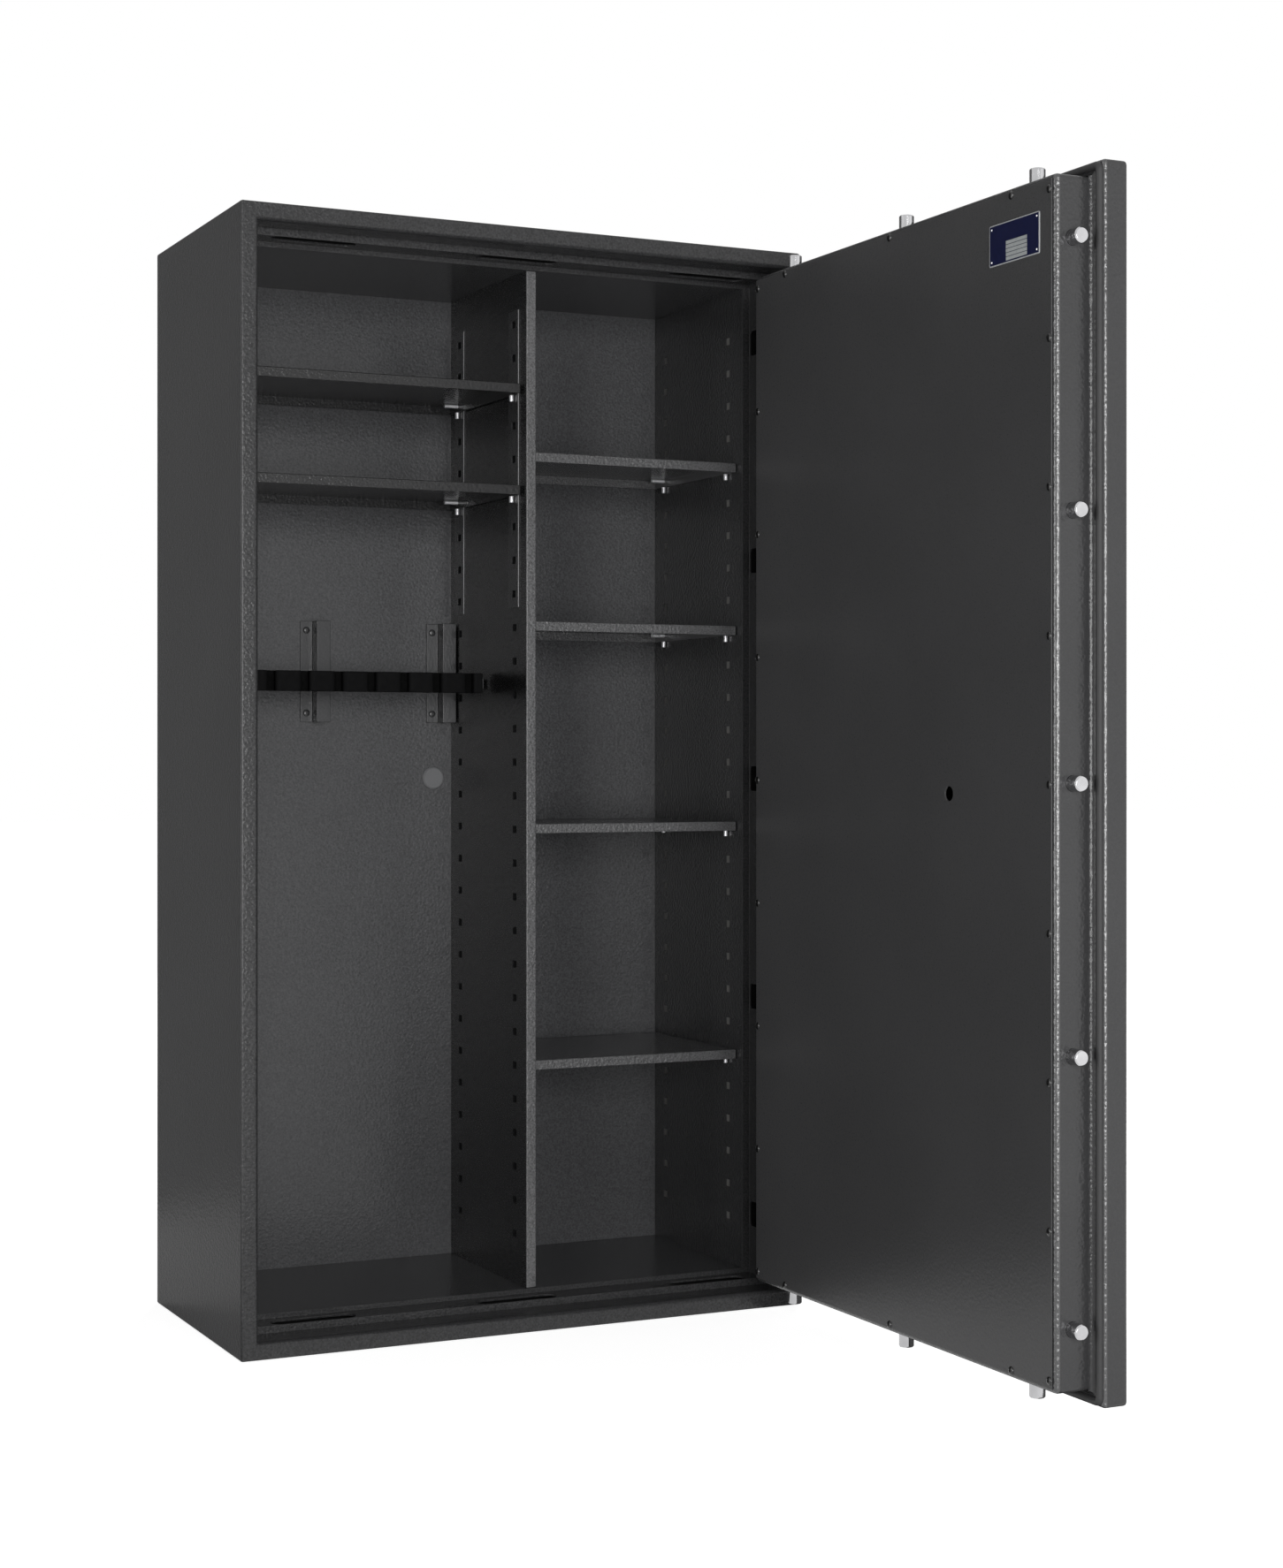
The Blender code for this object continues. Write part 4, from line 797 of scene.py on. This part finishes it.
def make_clips(name, columns):
    """Clips under a shelf's corners: a level wire under the sheet and a turned pin below the end."""
    left, right = shelf_ends(name)
    base = shelf_base(name) - MERGE
    level = base + SHELF_HEIGHT - SHELF_SHEET - CLIP_WIRE
    ease = PIN_WIRE / 4
    rim = arc((ease - PIN_LENGTH, PIN_WIRE - ease), ease, 180, 90, 4)
    profile = np.vstack([[(-PIN_LENGTH, 0.0)], rim, [(0.0, PIN_WIRE), (0.0, 0.0)]])
    surfaces = []
    for y in columns:
        for wall, way in ((left, 1.0), (right, -1.0)):
            start = np.array([wall + way * SHELF_SHEET, y, level])
            surfaces.append(tube([start, start + way * CLIP_LENGTH * OUTWARD], CLIP_WIRE))
            surfaces.append(lathe((wall + way * PIN_FROM_END, y, base), UP, profile, sides=20))
    build(f"{name}_clips", surfaces, CLIP_ZINC, "carcass")


def make_bracket_screws(side):
    """Two screws in a bracket's base flange, one near each end."""
    low, high = box_of(f"rack_bracket_{side}")
    face = high[1] - BRACKET_SHEET
    heights = (low[2] + BRACKET_SCREW_FROM_END, high[2] - BRACKET_SCREW_FROM_END)
    screws = [make_screw((low[0] + BRACKET_BASE / 2, face, z), -ALONG) for z in heights]
    # The screws wear the side walls' darker copy of the liner paint, painted shade.
    build(f"bracket_screws_{side}", screws, WALL_SHADED_PAINT, "carcass")


def make_plug():
    """Anchor plug: a turned disc with a soft rim and a shallow groove, a little proud of the panel."""
    low, high = box_of("anchor_plug")
    radius = (high[0] - low[0]) / 2
    depth = high[1] - low[1]
    ease = PLUG_EASE * depth
    base = np.array([(low[0] + high[0]) / 2, high[1], (low[2] + high[2]) / 2])
    rim = arc((depth - ease, radius - ease), ease, 90, 0, 4)
    groove = list(zip((depth, depth - ease, depth), np.multiply(PLUG_GROOVE, radius)))
    profile = np.vstack([[(0.0, 0.0), (0.0, radius)], rim, groove, [(depth, 0.0)]])
    disc = lathe(base, -ALONG, profile, sides=64)
    build("anchor_plug_disc", [disc], PLUG_GREY, "carcass", ("anchor_plug",))


# Strap

def ribbon(path, low, high, thickness):
    """A flat band on edge: a path in plan with a thickness, carried from one selvage to the other."""
    path = np.asarray(path, float)
    way = unit(np.gradient(path, axis=0))
    normal = np.stack([-way[:, 1], way[:, 0]], -1)
    ease = thickness / 2
    section = [(-0.5, low + ease), (-0.5, high - ease), (0.0, high), (0.5, high - ease),
               (0.5, low + ease), (0.0, low)]
    length = np.concatenate([[0], np.cumsum(np.linalg.norm(np.diff(path, axis=0), axis=1))])
    rows, spots = [], []
    for side, height in section:
        rows.append(np.column_stack([path + side * thickness * normal, np.full(len(path), height)]))
        spots.append(np.column_stack([length, np.full(len(path), height)]))
    return grid_surface(np.stack(rows, 1), close_columns=True, caps=True, uv=np.stack(spots, 1))


def loop_path(start, end, seat, rise, steps=28):
    """A barrel loop in plan: half a superellipse that stands on the seat between two sewn lines."""
    turn = np.linspace(pi, 0, steps)
    flat = 2 / LOOP_SQUARE
    reach = np.sign(np.cos(turn)) * np.abs(np.cos(turn)) ** flat
    swell = np.abs(np.sin(turn)) ** flat
    return np.column_stack([(start + end) / 2 + (end - start) / 2 * reach, seat - rise * swell])


def stitch_row(x, face, low, high):
    """A row of short thread lengths up the band, each a thin bar that dips in at its ends."""
    edges = np.linspace(low, high, 2 * STITCHES + 1)
    rows = []
    for foot, head in zip(edges[0::2], edges[1::2]):
        path = [(x, face + THREAD, foot), (x, face, foot + THREAD), (x, face, head - THREAD),
                (x, face + THREAD, head)]
        rows.append(tube(path, THREAD, sides=6))
    return rows


def make_strap():
    """Webbing strap: a flat rear band, and a front band that rises into flat loops between sewn lines."""
    low, high = box_of("barrel_strap")
    end = high[0] - STRAP_SHORT
    rear = high[1] - WEB_SHEET / 2
    seat = rear - WEB_SHEET - MERGE
    stitches = np.arange(low[0] + LOOP_FIRST, end - LOOP_STITCH / 2, LOOP_PITCH)
    starts = stitches + LOOP_STITCH / 2
    ends = np.append(stitches[1:] - LOOP_STITCH / 2, end)
    parts = [[(low[0], seat), (stitches[0] - LOOP_STITCH / 2, seat)]]
    parts += [loop_path(first, last, seat, LOOP_RISE) for first, last in zip(starts, ends)]
    rear_band = [(low[0], rear), (end, rear)]
    bands = [ribbon(band, low[2], high[2], WEB_SHEET) for band in (np.concatenate(parts), rear_band)]
    margin = STITCH_MARGIN * (high[2] - low[2])
    face = seat - WEB_SHEET / 2
    for stitch in stitches:
        for side in STITCH_AT:
            bands += stitch_row(stitch + side * LOOP_STITCH, face, low[2] + margin, high[2] - margin)
    build("barrel_strap_webbing", bands, WEBBING, "carcass", ("barrel_strap",))


# Door pieces

def dress_door():
    """Front plate, box, cover and hinge arms with rounded folds."""
    for node in ("door_front_plate", "door_box"):
        pan = eased_copy(node, DOOR_PAINT, 0.0, "door")
        repaint(pan, FOLD_PAINT, lambda middle, normal: (normal[:, 0] < -FOLD_FACING)
                & (normal[:, 1] < -FOLD_FACING))
    eased_copy("door_cover", COVER_PAINT, COVER_EASE, "door")
    for level in ("lower", "upper"):
        eased_copy(f"hinge_arm_{level}", STEEL, ARM_EASE, "door")


def make_bolt(node, axis, body):
    """A turned bolt: a straight shank with a chamfer at each end, the outer one between small radii."""
    low, high = box_of(node)
    half = abs((high - low) @ axis) / 2
    radius = np.sort(high - low)[0] / 2
    chamfer = BOLT_CHAMFER * radius
    ease = BOLT_EASE * chamfer
    turned_in = BOLT_EASE * ease
    tip = half - chamfer
    profile = [(-half, 0.0), (-half, radius - chamfer), (-tip, radius), (tip - ease, radius),
               (tip, radius - turned_in), (half - turned_in, radius - chamfer),
               (half, radius - chamfer - ease), (half, 0.0)]
    shank = lathe((low + high) / 2, axis, profile, sides=56)
    build(f"{node}_turned", [shank], CHROME, body, (node,))


def make_screw(place, axis):
    """A button-head screw: a domed head down to a round socket, drawn as one turned profile."""
    turn = np.linspace(pi / 2, DOME_END, 7)
    head = np.column_stack([SCREW_RISE * np.cos(turn) ** DOME_POWER, SCREW_RADIUS * np.sin(turn)])
    crown = head[-1, 0]
    floor = crown - SOCKET_DEPTH
    socket = SOCKET_SHARE * SCREW_RADIUS
    inside = [(crown, socket), (floor, SOCKET_TAPER * socket), (floor, 0.0)]
    return lathe(place, axis, np.vstack([[(-MERGE, SCREW_RADIUS)], head, inside]), sides=20)


def make_cover_screws():
    """Screws round the cover: a column along each long edge and three along each short one."""
    face = box_of("door_cover")[0][0]
    low, high = box_of("door_box")
    columns = (low[1] + SCREW_INSET, high[1] - SCREW_INSET)
    levels = (low[2] + SCREW_INSET, high[2] - SCREW_INSET)
    places = [(face, y, z) for y in columns for z in np.linspace(*EDGE_SCREW_Z, EDGE_SCREWS)]
    places += [(face, high[1] - reach, z) for reach in END_SCREW_FROM_HINGE for z in levels]
    screws = [make_screw(place, INWARD) for place in places]
    build("cover_screws", screws, SCREW_BLACK, "door")


def make_plate():
    """Blank plate near the cover's upper free corner, with a rivet in each corner."""
    face = box_of("door_cover")[0][0]
    hinge_edge = box_of("door_box")[1][1]
    middle = hinge_edge - PLATE_FROM_HINGE - PLATE_LENGTH / 2
    centre = np.array([face - MERGE, middle, PLATE_LOW + PLATE_HEIGHT / 2])
    body = slab(centre, INWARD, -ALONG, PLATE_LENGTH / 2, PLATE_HEIGHT / 2, 2 * PLATE_SHEET,
                round_rim(PLATE_SHEET, PLATE_SHEET / 3), flat_uv=True)
    build("blank_plate", [body], ENAMEL, "door")
    head = dome(RIVET_RISE, RIVET_RADIUS, 5)
    rivets = []
    for side in (-1, 1):
        for end in (-1, 1):
            spot = centre + PLATE_SHEET * INWARD + side * (PLATE_LENGTH / 2 - RIVET_INSET) * ALONG
            spot = spot + end * (PLATE_HEIGHT / 2 - RIVET_INSET) * UP
            rivets.append(lathe(spot, INWARD, head, sides=14))
    build("plate_rivets", rivets, CLIP_ZINC, "door")


def rim_ring(low, high, base, profile, corner, steps=6):
    """A profile of outsets and heights carried round a box's edge on a rounded rectangle, as one ring."""
    centre = np.array([base, (low[1] + high[1]) / 2, (low[2] + high[2]) / 2])
    half = ((high[1] - low[1]) / 2, (high[2] - low[2]) / 2)
    rows = []
    for outset, height in profile:
        ring = rounded_ring(half[0] + outset, half[1] + outset, corner + outset, steps)
        rows.append(centre + ring[:, :1] * ALONG + ring[:, 1:] * UP + height * INWARD)
    return grid_surface(np.stack(rows), close_rows=True, close_columns=True)


def make_seal():
    """Seal: a low half-round bead on a flat foot, carried round the plate's rim."""
    low, high = box_of("door_seal")
    width = high[0] - low[0]
    turn = np.linspace(0, pi, 12)
    bead = list(zip(width / 2 * (np.cos(turn) - 1), SEAL_RISE * np.sin(turn) ** SEAL_POWER))
    ring = rim_ring(low, high, high[0], bead + [(-width, 0.0), (0.0, 0.0)], SEAL_CORNER * width)
    build("door_seal_bead", [ring], RUBBER, "door", ("door_seal",))


def make_box_root():
    """Fillet where the box meets the plate: a hollow quarter round carried round the box."""
    low, high = box_of("door_box")
    turn = np.linspace(0, pi / 2, 8)
    hollow = list(zip(ROOT_FILLET * (1 - np.cos(turn)), ROOT_FILLET * (1 - np.sin(turn))))
    ring = rim_ring(low, high, high[0], hollow + [(0.0, 0.0)], MERGE)
    build("door_box_root", [ring], DOOR_PAINT, "door")


def round_end(reach, power, root):
    """Share of the full size along a reach from -1 to 1: one in the middle and nothing at the ends."""
    return (1 - np.abs(reach) ** power) ** root


def lever_surface(low, high, rows=40, sides=40):
    """A lever: superellipse rings down its length, wider at the boss, with a point at each round end."""
    reach = -np.cos(np.linspace(0, pi, rows))
    fall = (reach + 1) / 2
    width = (LEVER_BOSS + (LEVER_TIP - LEVER_BOSS) * fall) * round_end(reach, *LEVER_WIDTH_END)
    depth = (high[0] - low[0]) / 2 * round_end(reach, *LEVER_DEPTH_END) * (1 - LEVER_THINNING * fall)
    turn = np.linspace(0, 2 * pi, sides, endpoint=False)
    flat = 2 / LEVER_SQUARE
    out = np.sign(np.cos(turn)) * np.abs(np.cos(turn)) ** flat
    along = np.sign(np.sin(turn)) * np.abs(np.sin(turn)) ** flat
    middle = (low + high) / 2
    height = high[2] - fall * (high[2] - low[2])
    grid = np.stack([middle[0] + depth[:, None] * out, middle[1] + width[:, None] * along,
                     np.broadcast_to(height[:, None], (rows, sides))], -1)
    uv = np.stack(np.broadcast_arrays(turn[None], height[:, None]), -1)
    return grid_surface(grid, close_columns=True, uv=uv)


def make_handle():
    """Lever on its neck, and the turned rosette under it."""
    low, high = box_of("door_handle")
    face = box_of("handle_rosette")
    pivot = (face[0] + face[1]) / 2
    rosette_depth = face[1][0] - face[0][0]
    radius = (face[1][1] - face[0][1]) / 2
    grip_low = np.array([high[0] - LEVER_DEPTH, low[1], low[2]])
    neck = []
    for start, end in ((rosette_depth, NECK_FOOT), (grip_low[0] - face[0][0], NECK_HEAD)):
        neck += [(start + rise * NECK_RADIUS, share * NECK_RADIUS) for rise, share in end]
    base = np.array([face[0][0], pivot[1], pivot[2]])
    surfaces = [lever_surface(grip_low, high), lathe(base, OUTWARD, neck, sides=40)]
    build("door_handle_lever", surfaces, STEEL, "handle", ("door_handle",))
    ease = ROSETTE_EASE * rosette_depth
    floor = ROSETTE_FLOOR * rosette_depth
    rim = arc((rosette_depth - ease, radius - ease), ease, 90, 0, 6)
    inner = [(rosette_depth, ROSETTE_DISH[0] * radius), (floor, ROSETTE_DISH[1] * radius),
             (floor, NECK_BORE), (0.0, NECK_BORE)]
    profile = np.vstack([[(0.0, NECK_BORE), (0.0, radius)], rim, inner])
    rosette = lathe(base, OUTWARD, profile, sides=64)
    build("handle_rosette_turned", [rosette], STEEL, "door", ("handle_rosette",))


def make_key_parts():
    """Escutcheon and key cover with eased edges, and the rivet that the cover turns on."""
    eased_copy("key_escutcheon", STEEL, ESCUTCHEON_EASE, "door", segments=3)
    eased_copy("key_cover", STEEL, KEY_COVER_EASE, "key_cover", segments=3)
    low, high = box_of("key_cover")
    width = high[1] - low[1]
    spot = np.array([high[0], (low[1] + high[1]) / 2, high[2] - width / 2])
    radius = KEY_RIVET_SHARE * width
    head = lathe(spot, OUTWARD, dome(KEY_RIVET_RISE * radius, radius, 6), sides=28)
    build("key_cover_rivet", [head], STEEL, "key_cover")


def finish_solids():
    """Finishes of the solids that show as they are, and of those that are hidden."""
    inner_steel = ("hinge_", "lock_", "drive_")
    # The liner's side walls take painted shade, and its back painted light.
    special = {"liner_left": WALL_SHADED_PAINT, "liner_right": WALL_SHADED_PAINT, "liner_back": BACK_LIT_PAINT,
               "fire_filler": FILLER}
    for name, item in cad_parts.items():
        if item.hide_render:
            continue
        plain = STEEL if name.startswith(inner_steel) or name.endswith("_bar") else LINER_PAINT
        item.data.materials.clear()
        item.data.materials.append(special.get(name, plain))


# Studio

def stage_plane(name, corners, material):
    """A flat piece of the studio, which isn't part of the object."""
    mesh = bpy.data.meshes.new(name)
    mesh.from_pydata(corners, [], [(0, 1, 2, 3)])
    mesh.materials.append(material)
    item = new_object(name, mesh)
    return item


def seen_directly(tree):
    """One for what is seen, also in reflections and through glass, and zero for light on the object."""
    path = add_node(tree, "ShaderNodeLightPath")
    seen = maths(tree, "MAXIMUM", path.outputs["Is Camera Ray"], path.outputs["Is Glossy Ray"])
    return maths(tree, "MAXIMUM", seen, path.outputs["Is Transmission Ray"])


def matt_grey(name, tone):
    """A grey without shine for the studio, with its tree and its shader."""
    return new_material(name, Base_Color=(tone, tone, tone, 1), Roughness=STAGE_ROUGHNESS,
                        Specular_IOR_Level=0.0)


def make_floor():
    """A pale floor that keeps the shadow and is white to the camera away from it."""
    corners = [(x * FLOOR_SIZE, y * FLOOR_SIZE, 0) for x, y in ((-1, -1), (1, -1), (1, 1), (-1, 1))]
    material, tree, shader = matt_grey("floor_white", FLOOR_TONE)
    shader.inputs["Emission Color"].default_value = (1, 1, 1, 1)
    place = add_node(tree, "ShaderNodeTexCoord").outputs["Object"]
    away = add_node(tree, "ShaderNodeVectorMath", {0: place}, operation="LENGTH").outputs["Value"]
    glow = remap(tree, away, FLOOR_WHITE_FROM, FLOOR_WHITE_AT, FLOOR_GLOW, 1.0)
    tree.links.new(maths(tree, "MULTIPLY", seen_directly(tree), glow), shader.inputs["Emission Strength"])
    stage_plane("floor", corners, material)


def make_world():
    """White to the camera and in reflections, and a soft grey as light."""
    world = bpy.data.worlds.new("studio")
    bpy.context.scene.world = world
    world.use_nodes = True
    tree = world.node_tree
    background = tree.nodes["Background"]
    background.inputs["Color"].default_value = (1, 1, 1, 1)
    strength = remap(tree, seen_directly(tree), 0.0, 1.0, AMBIENT, 1.0)
    tree.links.new(strength, background.inputs["Strength"])


def card(name, tone, corners):
    """A flat card that is seen only in reflections."""
    item = stage_plane(name, corners, matt_grey(name, tone)[0])
    for ray in ("camera", "diffuse", "transmission", "shadow"):
        setattr(item, f"visible_{ray}", False)


def level_card(name, tone, left, right, front):
    """A card on the floor, from a front edge to the rear card."""
    plan = ((left, front), (right, front), (right, CARD_BEHIND), (left, CARD_BEHIND))
    card(name, tone, [(*spot, CARD_LIFT) for spot in plan])


def upright_card(name, tone, start, end):
    """A card that stands on the floor between two points."""
    card(name, tone, [(*start, 0), (*end, 0), (*end, CARD_TOP), (*start, CARD_TOP)])


def make_cards():
    """Cards behind the object, on the floor and to its right, to lower the sheen and edge the chrome."""
    left, right = CARD_ENDS
    bolt_low, bolt_high = box_of("base_bolt_1")
    start = (bolt_low[0] + bolt_high[0]) / 2
    upright_card("rear_card", CARD_TONE, (left, CARD_BEHIND), (right, CARD_BEHIND))
    level_card("side_card", SIDE_CARD_TONE, left, CAD_LOW[0] - CARD_LIFT, CARD_FRONT)
    level_card("floor_card", CARD_TONE, start, start + FLOOR_CARD_WIDTH, CAD_LOW[1])
    upright_card("right_card", CARD_TONE, (right, RIGHT_CARD_FRONT), (right, CARD_BEHIND))


def area_light(name, place, target, size, power):
    """A soft box aimed at a point."""
    light = bpy.data.lights.new(name, "AREA")
    light.shape = "RECTANGLE"
    light.size, light.size_y = size
    light.energy = power
    item = new_object(name, light)
    item.location = place
    way = np.subtract(target, place)
    item.rotation_euler = (np.arctan2(np.hypot(way[0], way[1]), -way[2]), 0, np.arctan2(-way[0], way[1]))


def make_camera():
    """The photo's view: a level camera turned about the vertical, with a shift."""
    data = bpy.data.cameras.new("photo_view")
    data.sensor_width = CAMERA_SENSOR
    data.lens = CAMERA_LENS
    data.shift_y = CAMERA_SHIFT
    camera = new_object("photo_view", data)
    camera.location = CAMERA_PLACE
    camera.rotation_euler = (pi / 2, 0, CAMERA_TURN)
    bpy.context.scene.camera = camera


def main():
    """Set up the studio and dress every solid."""
    bpy.context.scene.view_settings.view_transform = "Standard"
    make_camera()
    make_world()
    make_floor()
    make_cards()
    for light in LIGHTS:
        area_light(*light)
    dress_cabinet()
    columns = [box_of(f"strip_left_{end}")[0][1] + HOLE_FROM_STRIP_EDGE for end in ("front", "rear")]
    for name in ["shelf_left_1", "shelf_left_2"] + [f"shelf_right_{number}" for number in range(1, 5)]:
        make_shelf(name)
        make_clips(name, columns)
    make_strap()
    for side in ("left", "right"):
        make_bracket_screws(side)
    make_plug()
    dress_door()
    for number in range(1, 6):
        make_bolt(f"side_bolt_{number}", -ALONG, "side_bolts")
        make_bolt(f"fixed_bolt_{number}", ALONG, "door")
    for number in range(1, 4):
        make_bolt(f"top_bolt_{number}", UP, "top_bolts")
        make_bolt(f"base_bolt_{number}", -UP, "base_bolts")
    make_cover_screws()
    make_plate()
    make_seal()
    make_box_root()
    make_handle()
    make_key_parts()
    finish_solids()


main()
